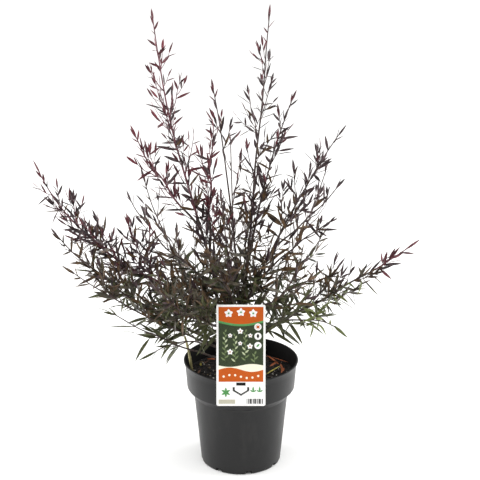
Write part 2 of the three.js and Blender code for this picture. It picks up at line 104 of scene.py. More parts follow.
def combined(tree, operation, first, second):
    return addNode(tree, "ShaderNodeMath", {0: first, 1: second}, operation=operation).outputs["Value"]


def bumped(tree, height, strength, distanceMm):
    return addNode(tree, "ShaderNodeBump", {
        "Height": height, "Strength": strength, "Distance": distanceMm * metresPerMm,
    }).outputs["Normal"]


def addSkin(tree, colour, gloss, relief, **others):
    skin = addNode(tree, "ShaderNodeBsdfPrincipled", {
        "Base Color": colour, "Roughness": gloss, "Normal": relief, **others,
    })
    addNode(tree, "ShaderNodeOutputMaterial", {"Surface": skin.outputs["BSDF"]})


def mottled(name, look):
    # two tones, a roughness range and a fine relief, all from one noise whose grain is a real size
    material, tree = newTree(name)
    grain = look["grain"]
    place = stretched(tree, objectPlace(tree), look.get("stretch", (1, 1, 1)))
    noise = noiseOn(tree, place, 1 / grain, 3.0, 0.6)
    tones = blended(tree, ranged(tree, noise, (0.35, 0.65)), look["dark"], look["light"])
    gloss = ranged(tree, noise, (0.3, 0.7), look["rough"])
    relief = bumped(tree, noise, look["relief"], grain)
    addSkin(tree, tones, gloss, relief, IOR=look.get("ior", 1.5))
    return material


def joinParts(parts):
    # several sets of points and faces as one set
    points, faces, used = [], [], 0
    for somePoints, someFaces in parts:
        points.append(somePoints)
        faces.extend(part + used for part in someFaces)
        used += len(somePoints)
    return np.concatenate(points), faces


def addPiece(name, shape, material, replaced=(), sharpDeg=35):
    # points in mm and arrays of faces, each array with its own number of corners, become a mesh in metres
    points, faces = shape
    corners = np.concatenate([part.ravel() for part in faces])
    counts = np.concatenate([np.full(len(part), part.shape[1]) for part in faces])
    mesh = bpy.data.meshes.new(name)
    mesh.vertices.add(len(points))
    mesh.vertices.foreach_set("co", (points * metresPerMm).astype(np.float32).ravel())
    mesh.loops.add(len(corners))
    mesh.loops.foreach_set("vertex_index", corners.astype(np.int32))
    mesh.polygons.add(len(counts))
    mesh.polygons.foreach_set("loop_start", (np.cumsum(counts) - counts).astype(np.int32))
    mesh.update(calc_edges=True)
    mesh.shade_smooth()
    mesh.set_sharp_from_angle(angle=math.radians(sharpDeg))
    mesh.materials.append(material)
    piece = bpy.data.objects.new(name, mesh)
    bpy.context.scene.collection.objects.link(piece)
    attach(piece, "root")
    if replaced:
        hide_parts(*replaced)
    triangles = int((counts - 2).sum())
    print(f"{name}: {triangles} triangles")
    return piece


def closedRings(rings, first, last):
    # solids, each of rings in a row (solid, row, corner, xyz), closed by a fan to a point at either end
    count, rows, sides = rings.shape[:3]
    size = rows * sides + 2
    points = np.concatenate([first[:, None], rings.reshape(count, rows * sides, 3), last[:, None]], axis=1)
    column = np.arange(sides)
    after = (column + 1) % sides
    row = 1 + sides * np.arange(rows - 1)[:, None]
    walls = np.stack([row + column, row + after, row + sides + after, row + sides + column], axis=-1)
    lastRow = 1 + sides * (rows - 1)
    foot = np.stack([0 * column, 1 + after, 1 + column], axis=-1)
    head = np.stack([0 * column + size - 1, lastRow + column, lastRow + after], axis=-1)
    offset = size * np.arange(count)[:, None, None]
    walls = (walls.reshape(-1, 4) + offset).reshape(-1, 4)
    caps = (np.concatenate([foot, head]) + offset).reshape(-1, 3)
    return points.reshape(-1, 3), [walls, caps]


def chance(seed, step):
    # from 0 to 1, and always the same for the same seed and step: the fraction of a large sine
    value = np.sin(seed * 127.1 + step * 311.7) * 43758.5453
    return value - np.floor(value)


def lumps(x, y, size, seed):
    # smooth noise from -1 to 1: chance values on a square lattice, blended by 3t^2 - 2t^3 between its corners
    u, v = x / size, y / size
    column, row = np.floor(u), np.floor(v)
    s, t = u - column, v - row
    s, t = s * s * (3 - 2 * s), t * t * (3 - 2 * t)
    edges = []
    for up in (0, 1):
        left, right = (
            chance(seed + (column + aside) * 0.37, (row + up) * 0.73 + (column + aside) * 0.11)
            for aside in (0, 1)
        )
        edges.append(left * (1 - s) + right * s)
    return 2 * (edges[0] * (1 - t) + edges[1] * t) - 1


def unit(vectors):
    return vectors / np.linalg.norm(vectors, axis=-1, keepdims=True)


def anyHeading(seed):
    return unit(np.stack([chance(seed, 701 + axis) - 0.5 for axis in range(3)], axis=-1))


# The studio

studio = {
    "eye": (-1.3, -1985.3, 1025.0),
    "tiltDeg": 70.9,
    "lensMm": 112.5,
    "sensorMm": 36,
    "seenTo": 100000,
    "floor": ("#f3f3f2", "#f7f7f6"),
    "floorSize": 24000,
    "world": 0.55,
    "sky": (2.1, 100, (0.25, 0.1)),      # a broad light overhead: strength, width in degrees and tilt
    "lamps": {     # place, size and watts: softboxes at the sides, so that the pot's edges catch light
        "left": ((-1700, 300, 500), 1300, 42),
        "right": ((1700, 300, 500), 1300, 40),
    },
    "aim": (0, 0, 250),
}


def makeStudio():
    scene = bpy.context.scene
    scene.view_settings.view_transform = "Standard"
    camera = bpy.data.objects.new("camera", bpy.data.cameras.new("camera"))
    camera.data.sensor_width = studio["sensorMm"]
    camera.data.lens = studio["lensMm"]
    camera.data.clip_end = studio["seenTo"] * metresPerMm
    camera.location = np.array(studio["eye"]) * metresPerMm
    camera.rotation_euler = (math.radians(studio["tiltDeg"]), 0, 0)
    scene.collection.objects.link(camera)
    scene.camera = camera

    scene.world = bpy.data.worlds.new("white studio")
    scene.world.use_nodes = True
    background = scene.world.node_tree.nodes["Background"]
    background.inputs["Color"].default_value = (1, 1, 1, 1)
    background.inputs["Strength"].default_value = studio["world"]

    for name, (place, size, watts) in studio["lamps"].items():
        lamp = bpy.data.objects.new(name, bpy.data.lights.new(name, "AREA"))
        lamp.data.size = size * metresPerMm
        lamp.data.energy = watts
        lamp.location = np.array(place) * metresPerMm
        scene.collection.objects.link(lamp)
        direction = (np.array(studio["aim"]) - np.array(place)) * metresPerMm
        lamp.rotation_euler = Vector(direction).to_track_quat("-Z", "Y").to_euler()

    strength, widthDeg, tilt = studio["sky"]
    sky = bpy.data.objects.new("overhead light", bpy.data.lights.new("overhead light", "SUN"))
    sky.data.energy = strength
    sky.data.angle = math.radians(widthDeg)
    sky.rotation_euler = (*tilt, 0)
    scene.collection.objects.link(sky)

    # A painted studio floor: matt, with a faint unevenness that keeps it from looking like paper.
    dark, light = studio["floor"]
    material = mottled("painted studio floor", {
        "dark": dark, "light": light, "grain": 400, "rough": (0.85, 0.95), "relief": 0.0,
    })
    half = studio["floorSize"] / 2 * metresPerMm
    mesh = bpy.data.meshes.new("floor")
    corners = [(-half, -half, 0), (half, -half, 0), (half, half, 0), (-half, half, 0)]
    mesh.from_pydata(corners, [], [(0, 1, 2, 3)])
    mesh.materials.append(material)
    floor = bpy.data.objects.new("floor", mesh)
    scene.collection.objects.link(floor)
    print("studio: camera, lights and floor")


makeStudio()


# The pot: a thin moulded shell with a deep collar, a flared lip and drain slots round its foot

pot = {
    "height": 157,
    "lipRadius": 82.5,
    "lipHeight": 2.2,
    "lipWidth": 3,
    "lipUndercut": 0.6,
    "lipDraft": 0.2,
    "collarTopRadius": 80,
    "collarTopDrop": 9,
    "collarFootRadius": 77.5,
    "collarFootHeight": 116,
    "bodyTopRadius": 67.8,
    "bodyTopHeight": 105,
    "footRadius": 57.5,
    "wall": 1.5,
    "floor": 2.4,
    "drainSlots": 8,
    "drainHeight": 5,
    "drainDepth": 7,
    "slotColumns": 8,        # of the columns below, about 9 mm at the foot
    "columns": 320,
    "footRounding": 3,
    "rounding": (1.6, 1.6, 3, 0.6, 0.5, 0.7, 0.8, 3, 1.6, 1.6),      # at the other bends, up and over the lip
    "stipplePerMm": 1.4,
    "scuffsPerMm": 0.038,
    "dustHeight": 35,
}


def eased(outline, reaches, steps=5):
    # each corner of an outline becomes a short curve that leaves its neighbours' lines at the given reach
    outline = np.array(outline, float)
    rounded = [outline[:1]]
    t = np.linspace(0, 1, steps)[:, None]
    for before, corner, after, reach in zip(outline, outline[1:], outline[2:], reaches):
        start = corner + reach * unit(before - corner)
        end = corner + reach * unit(after - corner)
        rounded.append((1 - t) ** 2 * start + 2 * t * (1 - t) * corner + t ** 2 * end)
    return np.concatenate([*rounded, outline[-1:]])


def innerRadius(height):
    # the pot's inner wall, one wall thickness in from the outer one
    heights = [pot["floor"], pot["bodyTopHeight"], pot["collarFootHeight"],
               pot["height"] - pot["collarTopDrop"], pot["height"]]
    radii = [pot["footRadius"] - pot["wall"], pot["bodyTopRadius"] - pot["wall"],
             pot["collarFootRadius"] - pot["wall"], pot["collarTopRadius"] - pot["wall"],
             pot["lipRadius"] - pot["lipWidth"]]
    return np.interp(height, heights, radii)


def potProfile():
    # radius and height from the middle of the underside, up the outside, over the lip and down to the floor
    top, collarTop = pot["height"], pot["height"] - pot["collarTopDrop"]
    wall, floor, foot = pot["wall"], pot["floor"], pot["footRadius"]
    slotIn, slotUp = foot - pot["drainDepth"], pot["drainHeight"]
    slotHead = foot + (pot["bodyTopRadius"] - foot) * slotUp / pot["bodyTopHeight"]
    outside = eased([(slotIn, 0), (foot, 0), (slotHead, slotUp)], [pot["footRounding"]])
    upper = eased([
        outside[-1],
        (pot["bodyTopRadius"], pot["bodyTopHeight"]),
        (pot["collarFootRadius"], pot["collarFootHeight"]),
        (pot["collarTopRadius"], collarTop),
        (pot["lipRadius"] - pot["lipUndercut"], top - pot["lipHeight"]),
        (pot["lipRadius"], top - pot["lipHeight"] / 2),
        (pot["lipRadius"] - pot["lipDraft"], top),
        (pot["lipRadius"] - pot["lipWidth"], top),
        (pot["collarTopRadius"] - wall, collarTop),
        (pot["collarFootRadius"] - wall, pot["collarFootHeight"] + wall / 2),
        (pot["bodyTopRadius"] - wall, pot["bodyTopHeight"] + wall / 2),
        (innerRadius(slotUp), slotUp),
    ], pot["rounding"])
    inside = [(innerRadius(slotUp), slotUp), (foot - wall, floor), (slotIn, floor)]
    inside = eased(inside, pot["rounding"][-1:])
    profile = np.concatenate([[(slotIn / 2, 0)], outside, upper[1:-1], inside, [(slotIn / 2, floor)]])
    lipRow = int(np.argmax(profile[:, 1] * 100 - profile[:, 0]))      # the innermost of the highest rows
    return profile, len(outside), lipRow


def potShape():
    # the profile turned about the upright axis, less the quads of each slot, whose edges are walled in
    profile, slotRows, lipRow = potProfile()
    rows, columns = len(profile), pot["columns"]
    angle = 2 * math.pi * np.arange(columns) / columns
    radius, height = profile[:, :1], profile[:, 1:]
    turned = np.stack([radius * np.cos(angle), radius * np.sin(angle), height + 0 * angle], axis=-1)
    points = np.concatenate([turned.reshape(-1, 3), [(0, 0, 0), (0, 0, pot["floor"])]])

    def at(row, column):
        return row * columns + column % columns

    def quads(*corners):
        return np.stack(corners, axis=-1)

    perSlot = columns // pot["drainSlots"]
    firstColumn = perSlot // 4 - pot["slotColumns"] // 2
    slotPlace = (np.arange(columns) - firstColumn) % perSlot
    inSlot = slotPlace < pot["slotColumns"]
    # the rows of a slot on the outside, from the middle out, and the rows inside that lie against them
    outer = 1 + np.arange(slotRows)
    inner = rows - 2 - np.arange(slotRows)
    row, column = np.meshgrid(np.arange(rows - 1), np.arange(columns), indexing="ij")
    cut = inSlot[column] & (np.isin(row, outer[:-1]) | np.isin(row, inner[1:]))
    shell = quads(at(row, column), at(row, column + 1), at(row + 1, column + 1), at(row + 1, column))
    inside = row >= lipRow
    outerShell, innerShell = shell[~cut & ~inside], shell[~cut & inside]

    low = np.arange(columns)[slotPlace == 0][:, None]
    lowSide, highSide = (
        quads(at(outer[:-1], side), at(outer[1:], side), at(inner[1:], side), at(inner[:-1], side))
        for side in (low, low + pot["slotColumns"])
    )
    across = np.arange(columns)[inSlot]
    beside = across + 1
    deep = quads(at(outer[0], across), at(outer[0], beside), at(inner[0], beside), at(inner[0], across))
    head = quads(at(outer[-1], across), at(inner[-1], across), at(inner[-1], beside), at(outer[-1], beside))

    ring = np.arange(columns)
    middle = 0 * ring + rows * columns
    underside = quads(middle, at(0, ring + 1), at(0, ring))
    floor = quads(middle + 1, at(rows - 1, ring), at(rows - 1, ring + 1))
    walls = [lowSide[..., ::-1].reshape(-1, 4), highSide.reshape(-1, 4), deep, head]
    return points, [outerShell, *walls, underside, innerShell, floor]


def mouldedPolypropylene(name, look):
    # Injection-moulded black polypropylene: a satin skin with a fine stipple that spreads the softboxes'
    # light into long pale bands, dull handling marks, and a breath of dried mix round the foot.
    material, tree = newTree(name)
    place = objectPlace(tree)
    stipple = noiseOn(tree, place, pot["stipplePerMm"], 2.0)
    scuffs = noiseOn(tree, stretched(tree, place, (1.0, 1.0, 0.35)), pot["scuffsPerMm"], 6.0, 0.68)
    height = addNode(tree, "ShaderNodeSeparateXYZ", {"Vector": place}).outputs["Z"]
    footDust = ranged(tree, height, (0.0, pot["dustHeight"] * metresPerMm), (0.55, 0.0))
    worn = ranged(tree, scuffs, (0.5, 0.72), (0.0, 0.6))
    share = combined(tree, "MAXIMUM", combined(tree, "MULTIPLY", footDust, scuffs), worn)
    tones = blended(tree, share, look["clean"], look["worn"])
    gloss = ranged(tree, scuffs, (0.3, 0.7), look["rough"])
    addSkin(tree, tones, gloss, bumped(tree, stipple, 0.12, 0.4), IOR=look["ior"])
    return material


potMesh = potShape()
nurseryPot = addPiece("nursery_pot", potMesh, mouldedPolypropylene("moulded black polypropylene", {
    "clean": "#101011", "worn": "#272625", "rough": (0.34, 0.48), "ior": 1.38,
}), ["pot"])
# Inside, the wall is painted darker, nearly black, as painted shade from the crown above, and given a
# rougher, less glossy finish.
nurseryPot.data.materials.append(mouldedPolypropylene("inner wall painted shade", {
    "clean": "#0b0a0a", "worn": "#1c1917", "rough": (0.6, 0.8), "ior": 1.18,
}))
# Of the pot's sets of faces, the last two are the inner wall and the floor.
faceCounts = [len(part) for part in potMesh[1]]
finishes = np.repeat([0] * (len(faceCounts) - 2) + [1, 1], faceCounts).astype(np.int32)
nurseryPot.data.polygons.foreach_set("material_index", finishes)


# The potting mix: composted bark with chips, white grains and fallen leaves on it

mix = {
    "top": 135,
    "rings": 80,
    "columns": 220,
    "roughness": 2.2,
    "lumps": ((0.5, 17, 3.1), (0.32, 7, 8.4), (0.28, 3.1, 5.7)),      # share, size and seed of each
    "flatRadius": 16,
    "seatGap": 0.3,
    "footInset": 3,
    "clearOfTrunk": 9,
    "clearOfStrap": (7, -66),        # half the width of the free strip, and where it begins
    "chips": {               # count, shortest and longest, and the two tones of each kind
        "black_bark": (1500, 2.5, 8, "#080706", "#1a1511"),
        "brown_bark": (300, 3, 9, "#1c1510", "#3a2b20"),
        "straw_bark": (34, 3, 8, "#4b3d29", "#86744f"),
    },
    "chipEdge": 5,           # how far they keep from the wall
    "chipCorners": 6,
    "chipWidth": (0.3, 0.35),        # the least share of the length, and the range above it
    "chipThick": (0.5, 0.9),
    "chipLayers": ((0.86, -0.5), (1, 0.1), (0.8, 0.5)),      # breadth, and height in thicknesses
    "grains": 90,
    "grainEdge": 4,
    "grainRadius": (0.7, 1.5),
    "grainRings": (5, 8),
}


def mixHeight(x, y):
    # lumps of three sizes, flattened under the trunk and never above the top
    rough = sum(share * lumps(x, y, size, seed) for share, size, seed in mix["lumps"])
    calm = np.clip((np.hypot(x, y) - mix["flatRadius"] * 0.5) / mix["flatRadius"], 0, 1)
    return mix["top"] - mix["roughness"] * calm * (0.55 - 0.55 * rough)


def mixShape():
    # a closed plug: its top is a polar grid, and its side follows the pot's inner wall down to the floor
    rim = innerRadius(mix["top"]) - mix["seatGap"]
    angle = 2 * math.pi * np.arange(mix["columns"]) / mix["columns"]
    radius = (rim * np.linspace(1, 1 / mix["rings"], mix["rings"]))[:, None]
    x, y = radius * np.cos(angle), radius * np.sin(angle)
    top = np.stack([x, y, mixHeight(x, y)], axis=-1)
    low = pot["floor"] + mix["seatGap"]
    heights = np.array([low, pot["bodyTopHeight"], pot["collarFootHeight"]])[:, None]
    inset = np.array([mix["footInset"], 0, 0])[:, None] + 2 * mix["seatGap"]
    side = innerRadius(heights) - inset
    side = np.stack([side * np.cos(angle), side * np.sin(angle), heights + 0 * angle], axis=-1)
    head = float(mixHeight(0.0, 0.0))
    return closedRings(np.concatenate([side, top])[None], np.array([(0, 0, low)]), np.array([(0, 0, head)]))


def scattered(count, seed, edge):
    # places spread evenly over the mix: a radius that goes as the root of a chance, and a chance angle
    step = np.arange(count)
    radius = edge * np.sqrt(chance(seed, step))
    angle = 2 * math.pi * chance(seed + 1, step)
    x, y = radius * np.cos(angle), radius * np.sin(angle)
    strapHalf, strapFrom = mix["clearOfStrap"]
    clear = (np.hypot(x, y) > mix["clearOfTrunk"]) & ~((np.abs(x) < strapHalf) & (y < strapFrom))
    return x[clear], y[clear], step[clear]


def chipsShape(count, short, long, seed):
    # flakes: rings of a few corners, one above the other, each corner moved by chance, tilted and turned
    x, y, step = scattered(count, seed, innerRadius(mix["top"]) - mix["chipEdge"])
    sides = mix["chipCorners"]
    length = short + (long - short) * chance(seed + 2, step) ** 2
    width = length * (mix["chipWidth"][0] + mix["chipWidth"][1] * chance(seed + 3, step))
    thick = mix["chipThick"][0] + mix["chipThick"][1] * chance(seed + 4, step)
    corner = 2 * math.pi * np.arange(sides) / sides
    jitter = 0.75 + 0.5 * chance(seed + 5, step[:, None] * 7 + np.arange(sides))
    flat = np.stack([
        np.cos(corner) * jitter * length[:, None] / 2,
        np.sin(corner) * jitter * width[:, None] / 2,
        np.zeros((len(step), sides)),
    ], axis=-1)
    upright = np.array([0, 0, 1]) * thick[:, None, None]
    rings = np.stack([flat * broad + rise * upright for broad, rise in mix["chipLayers"]], axis=1)
    turn, tilt = 2 * math.pi * chance(seed + 6, step), 0.5 * (chance(seed + 7, step) - 0.5)
    heading = np.stack([np.cos(turn) * np.cos(tilt), np.sin(turn) * np.cos(tilt), np.sin(tilt)], axis=-1)
    aside = np.stack([-np.sin(turn), np.cos(turn), 0 * turn], axis=-1)
    basis = np.stack([heading, aside, np.cross(heading, aside)], axis=1)
    lift = np.abs(np.sin(tilt)) * length / 2 * 0.6
    centre = np.stack([x, y, mixHeight(x, y) + 0.4 * thick + lift], axis=-1)
    placed = np.einsum("nrci,nij->nrcj", rings, basis) + centre[:, None, None]
    return closedRings(placed, placed[:, 0].mean(axis=1), placed[:, -1].mean(axis=1))


def grainsShape(seed=71):
    # small uneven balls: a few rings whose radius wavers by chance
    x, y, step = scattered(mix["grains"], seed, innerRadius(mix["top"]) - mix["grainEdge"])
    rows, sides = mix["grainRings"]
    row, column = np.arange(rows), np.arange(sides)
    low, high = mix["grainRadius"]
    radius = low + (high - low) * chance(seed + 2, step)
    rise = math.pi * ((row + 1) / (rows + 1) - 0.5)[:, None]
    around = 2 * math.pi * column / sides
    wobble = 0.8 + 0.4 * chance(seed + 3, step[:, None, None] * rows * sides + row[:, None] * sides + column)
    ball = np.stack([
        np.cos(rise) * np.cos(around), np.cos(rise) * np.sin(around), np.sin(rise) + 0 * around,
    ], axis=-1)
    centre = np.stack([x, y, mixHeight(x, y) + 0.5 * radius], axis=-1)
    rings = centre[:, None, None] + ball * (wobble * radius[:, None, None])[..., None]
    pole = np.array([0, 0, 0.9]) * radius[:, None]
    return closedRings(rings, centre - pole, centre + pole)


# Composted pine bark, damp: nearly black, with a dull broken gleam.
dampBark = mottled("damp composted bark", {
    "dark": "#070605", "light": "#1b1510", "grain": 2.2, "rough": (0.75, 0.95), "relief": 0.9,
})
addPiece("mix_surface", mixShape(), dampBark, ["potting_mix"], sharpDeg=80)
for index, (name, (count, short, long, dark, light)) in enumerate(mix["chips"].items()):
    # Split bark: matt flakes whose cut faces show lighter wood.
    flake = mottled(name.replace("_", " "), {
        "dark": dark, "light": light, "grain": 1.6, "rough": (0.7, 0.9), "relief": 0.5, "stretch": (1, 3, 3),
    })
    chips = chipsShape(count, short, long, 11 + 10 * index)
    addPiece(f"mix_{name}", chips, flake, sharpDeg=25)
# Expanded volcanic glass: chalky off-white grains, dirtied by the mix.
chalkyGrain = mottled("expanded mineral grain", {
    "dark": "#7d7a72", "light": "#c9c6bd", "grain": 0.9, "rough": (0.85, 0.95), "relief": 0.4,
})
addPiece("mix_grains", grainsShape(), chalkyGrain, sharpDeg=60)
print("pot and potting mix")


# The plant card: a thin white plate with a slot and a pointed tab, inks laid on it, and a strap over the lip

card = {
    "width": 68,
    "above": 109,
    "below": 33,
    "thick": 0.8,
    "corner": 2.5,
    "leanDeg": 13,
    "slotWidth": 13,
    "slotHeight": 4.5,
    "tabHalfWidth": 10.6,
    "tabTop": 6.5,
    "tabShoulder": 11.5,
    "tabPoint": 18,
    "tabSlit": 2,
    "strapWidth": 8,
    "strapThick": 0.8,
    "strapDrop": 17,
    "lipGap": 0.35,
    "edgeRounding": 0.12,
    "strapInto": 0.2,            # its middle line: how far into the plate, above the lip and inside the wall
    "strapAbove": 1.2,
    "strapInside": 1.9,
    "strapBend": 2.2,
    "clearBehind": 10,           # the space that the crown leaves free round the card
    "clearInFront": 130,
    "clearSpread": 0.1,
}
cardLean = math.radians(card["leanDeg"])
cardNormal = np.array([0, -math.cos(cardLean), math.sin(cardLean)])
cardUp = np.array([0, math.sin(cardLean), math.cos(cardLean)])
cardOrigin = np.array([0, -pot["lipRadius"], pot["height"]]) + cardNormal * card["lipGap"]

artwork = {
    "border": 3,
    "inkDepth": 0.05,
    "inkRoot": 0.1,          # how far the inks reach into the plate
    "headerFoot": 87,
    "headerSag": 5,
    "stripe": 3,
    "field": (24, 2),        # height of its foot, and how far that waves
    "band": (18, -3),
    "bandFoot": 1,
    "discs": {"sun": 78, "drop": 65, "leaf": 52},      # heights of three white discs up the right edge
    "discAcross": 23.5,
    "discRadius": 5,
    "blossoms": ((-17, 97), (0, 98.5), (17, 97)),
    "blossomSize": 6.2,
    "sprigs": ((-22, 31, 74), (-8, 29, 68), (6, 31, 74), (19, 29, 42)),       # x, foot and tip
    "sprigLeaf": (7.5, 3, 2.3, 3.6),         # length, how much shorter at the tip, width and spacing
    "smallBlossoms": ((-15, 66), (-15, 43), (-1, 55), (-1, 72), (13, 66), (12.5, 51)),
    "smallBlossomSize": 3.4,
    "dots": (-24, 8.5, 1.6),         # the first one's x, the height and the radius
    "dotSpacing": 8,
    "rosette": (-21, -14),
    "sprouts": ((17, -13.5), (26, -13.5)),
    "label": (23, -30, -24),         # width, foot and top of a tan bar at the left
    "bars": (8, -30, -23),           # the first black bar's x, and their foot and top
    "barSpacing": 2.1,
    "tabLine": (0.9, 0.05),          # how far outside the tab its black line lies
}
inks = {
    "orange": ("#b8500c", "#c4590f"),
    "amber": ("#b8500c", "#c4590f"),
    "green": ("#4b8a4c", "#5a9a5a"),
    "forest": ("#28321f", "#3a452c"),
    "sage": ("#5f6f47", "#77865c"),
    "pale": ("#aeb892", "#c4cca8"),
    "cream": ("#efe9cf", "#f6f2dd"),
    "white": ("#f4f3f0", "#faf9f7"),
    "tan": ("#b3af9d", "#c0bcaa"),
    "black": ("#1d1d1d", "#292929"),
}


def onCard(flat, lift):
    # card points (across, up) at a height above its back face
    across, rise = flat[..., 0:1], flat[..., 1:2]
    return cardOrigin + across * np.array([1, 0, 0]) + rise * cardUp + lift * cardNormal


def slab(outlines, low, high):
    # a sheet with upright edges: its first outline less the others, filled with triangles
    flat = np.concatenate(outlines)
    loops = [[Vector((x, y, 0)) for x, y in outline] for outline in outlines]
    filled = np.array(tessellate_polygon(loops))
    a, b, c = (flat[filled[:, k]] for k in range(3))
    turned = (b - a)[:, 0] * (c - a)[:, 1] - (b - a)[:, 1] * (c - a)[:, 0] < 0
    filled[turned] = filled[turned][:, ::-1]
    count, edges, used = len(flat), [], 0
    for index, outline in enumerate(outlines):
        x, y = outline[:, 0], outline[:, 1]
        area = (x * np.roll(y, -1) - np.roll(x, -1) * y).sum()
        here = used + np.arange(len(outline))
        after = used + (np.arange(len(outline)) + 1) % len(outline)
        if (area > 0) != (index == 0):
            here, after = after, here
        edges.append(np.stack([here, after, after + count, here + count], axis=-1))
        used += len(outline)
    points = np.concatenate([onCard(flat, low), onCard(flat, high)])
    return points, [filled + count, filled[:, ::-1], np.concatenate(edges)]


def rectangle(left, low, right, high, corner=0.0):
    # each corner is a quarter circle
    steps = np.radians(np.arange(0, 91, 15)) if corner else np.zeros(1)
    outline = []
    for x, y, startDeg in (
        (right - corner, low + corner, -90), (right - corner, high - corner, 0),
        (left + corner, high - corner, 90), (left + corner, low + corner, 180),
    ):
        angle = steps + math.radians(startDeg)
        outline.append(np.stack([x + corner * np.cos(angle), y + corner * np.sin(angle)], axis=-1))
    return np.concatenate(outline)


def disc(x, y, radius, sides=28):
    angle = 2 * math.pi * np.arange(sides) / sides
    return np.stack([x + radius * np.cos(angle), y + radius * np.sin(angle)], axis=-1)


def leafOutline(x, y, turnDeg, length, width):
    # both edges bulge as a sine from the foot to the tip
    share = np.linspace(0, 1, 8)
    edge = width / 2 * np.sin(math.pi * share ** 0.9)
    along = np.concatenate([share, share[-2:0:-1]]) * length
    aside = np.concatenate([-edge, edge[-2:0:-1]])
    turn = math.radians(turnDeg)
    return np.stack([x + along * math.cos(turn) - aside * math.sin(turn),
                     y + along * math.sin(turn) + aside * math.cos(turn)], axis=-1)


def blossom(x, y, size):
    # five petals round a small eye
    petals = [leafOutline(x, y, 90 + 72 * k, size, size * 0.72) for k in range(5)]
    return petals, disc(x, y, size * 0.2, 10)


def tabOutline(grow):
    # the pointed tab's outline, moved outwards by grow
    half, top = card["tabHalfWidth"] + grow, card["tabTop"]
    shoulder, point = card["tabShoulder"] + grow / 3, card["tabPoint"] + grow
    return half, top, shoulder, point


def tabSlit(outer, inner):
    # a bent slit between two such outlines, open at its top
    outside, top, outsideShoulder, outsidePoint = tabOutline(outer)
    inside, _, insideShoulder, insidePoint = tabOutline(inner)
    return np.array([
        (-outside, -top), (-outside, -outsideShoulder), (0, -outsidePoint), (outside, -outsideShoulder),
        (outside, -top), (inside, -top), (inside, -insideShoulder), (0, -insidePoint),
        (-inside, -insideShoulder), (-inside, -top),
    ])


def drawBands(draw, half):
    # from the top: the header, a thin stripe, the dark field of blossoms, a pale band and the lowest band
    across = np.linspace(-half, half, 33)

    def level(height):
        return np.array([(-half, height), (half, height)])

    def sagging(height):
        sag = artwork["headerSag"] * np.cos(across / half * math.pi / 2)
        return np.stack([across, height - sag], axis=-1)

    def waved(height, depth):
        return np.stack([across, height + depth * np.sin(across / half * math.pi)], axis=-1)

    edges = [
        level(card["above"] - artwork["border"]),
        sagging(artwork["headerFoot"]),
        sagging(artwork["headerFoot"] - artwork["stripe"]),
        waved(*artwork["field"]),
        waved(*artwork["band"]),
        level(artwork["bandFoot"]),
    ]
    for ink, upper, lower in zip(("orange", "green", "forest", "cream", "amber"), edges, edges[1:]):
        draw(ink, 1, np.concatenate([lower, upper[::-1]]))


def drawSprigs(draw):
    # a thin stem with leaves to either side by turns, a few of them pale by chance
    length, shorter, width, spacing = artwork["sprigLeaf"]
    for x, foot, tip in artwork["sprigs"]:
        draw("sage", 2, leafOutline(x, foot - 3, 90, tip - foot + 5, 0.8))
        for step, height in enumerate(np.arange(foot, tip, spacing)):
            share = (height - foot) / (tip - foot)
            side = 1 if step % 2 else -1
            lean = 90 - side * (50 - 22 * share + 14 * (float(chance(x + 40.0, step)) - 0.5))
            ink = "pale" if chance(x + 50.0, step) > 0.6 else "sage"
            draw(ink, 2 + step % 2, leafOutline(x, height, lean, length - shorter * share, width))


def drawBlossoms(draw):
    for index, (x, y) in enumerate(artwork["smallBlossoms"]):
        petals, eye = blossom(x, y, artwork["smallBlossomSize"] + index % 2)
        draw("white", 4, *petals)
        draw("amber", 5, eye)
    for x, y in artwork["blossoms"]:
        petals, eye = blossom(x, y, artwork["blossomSize"])
        draw("white", 2, *petals)
        draw("green", 3, eye)


def drawDiscs(draw):
    # a sun with eight rays, a drop and a leaf, each on a white disc
    x, radius = artwork["discAcross"], artwork["discRadius"]
    for kind, height in artwork["discs"].items():
        draw("white", 6, disc(x, height, radius))
        if kind == "sun":
            draw("amber", 7, disc(x, height, radius * 0.42))
            for angle in np.arange(8) * math.pi / 4:
                root = x + radius * 0.5 * math.cos(angle), height + radius * 0.5 * math.sin(angle)
                draw("amber", 7, leafOutline(*root, math.degrees(angle), radius * 0.36, 0.9))
        elif kind == "drop":
            draw("black", 7, leafOutline(x, height + radius * 0.7, -90, radius * 1.35, 3.6))
        else:
            draw("green", 7, leafOutline(x - 2.2, height - 2.2, 45, radius * 1.3, 2.6))


def drawFootMarks(draw, half):
    # dots on the lowest band, and under it a rosette, two sprouts, a tan bar, black bars and the tab's line
    left, rise, radius = artwork["dots"]
    for k in range(7):
        draw("cream", 2, disc(left + artwork["dotSpacing"] * k, rise + 2.2 * math.sin(k * 1.1), radius))
    draw("green", 1, *(leafOutline(*artwork["rosette"], 90 + 60 * k, 7, 3) for k in range(6)))
    draw("green", 1, *(leafOutline(x, y, 90, 8, 2.6) for x, y in artwork["sprouts"]))
    for x, y in artwork["sprouts"]:
        draw("green", 1, *(leafOutline(x, y, 90 + turn, 5.5, 2) for turn in (-55, 55)))
    wide, foot, top = artwork["label"]
    draw("tan", 1, rectangle(-half, foot, -half + wide, top))
    start, foot, top = artwork["bars"]
    for k in range(11):
        x = artwork["barSpacing"] * k
        draw("black", 1, rectangle(start + x, foot, start + 0.9 + x + 0.5 * (k % 3), top))
    draw("black", 1, tabSlit(*artwork["tabLine"]))


def drawArtwork():
    # every ink's outlines, each with its layer; a later layer lies on an earlier one
    half = card["width"] / 2 - artwork["border"]
    drawn = {ink: [] for ink in inks}

    def draw(ink, layer, *outlines):
        drawn[ink].extend((layer, outline) for outline in outlines)

    drawBands(draw, half)
    drawSprigs(draw)
    drawBlossoms(draw)
    drawDiscs(draw)
    drawFootMarks(draw, half)
    return drawn


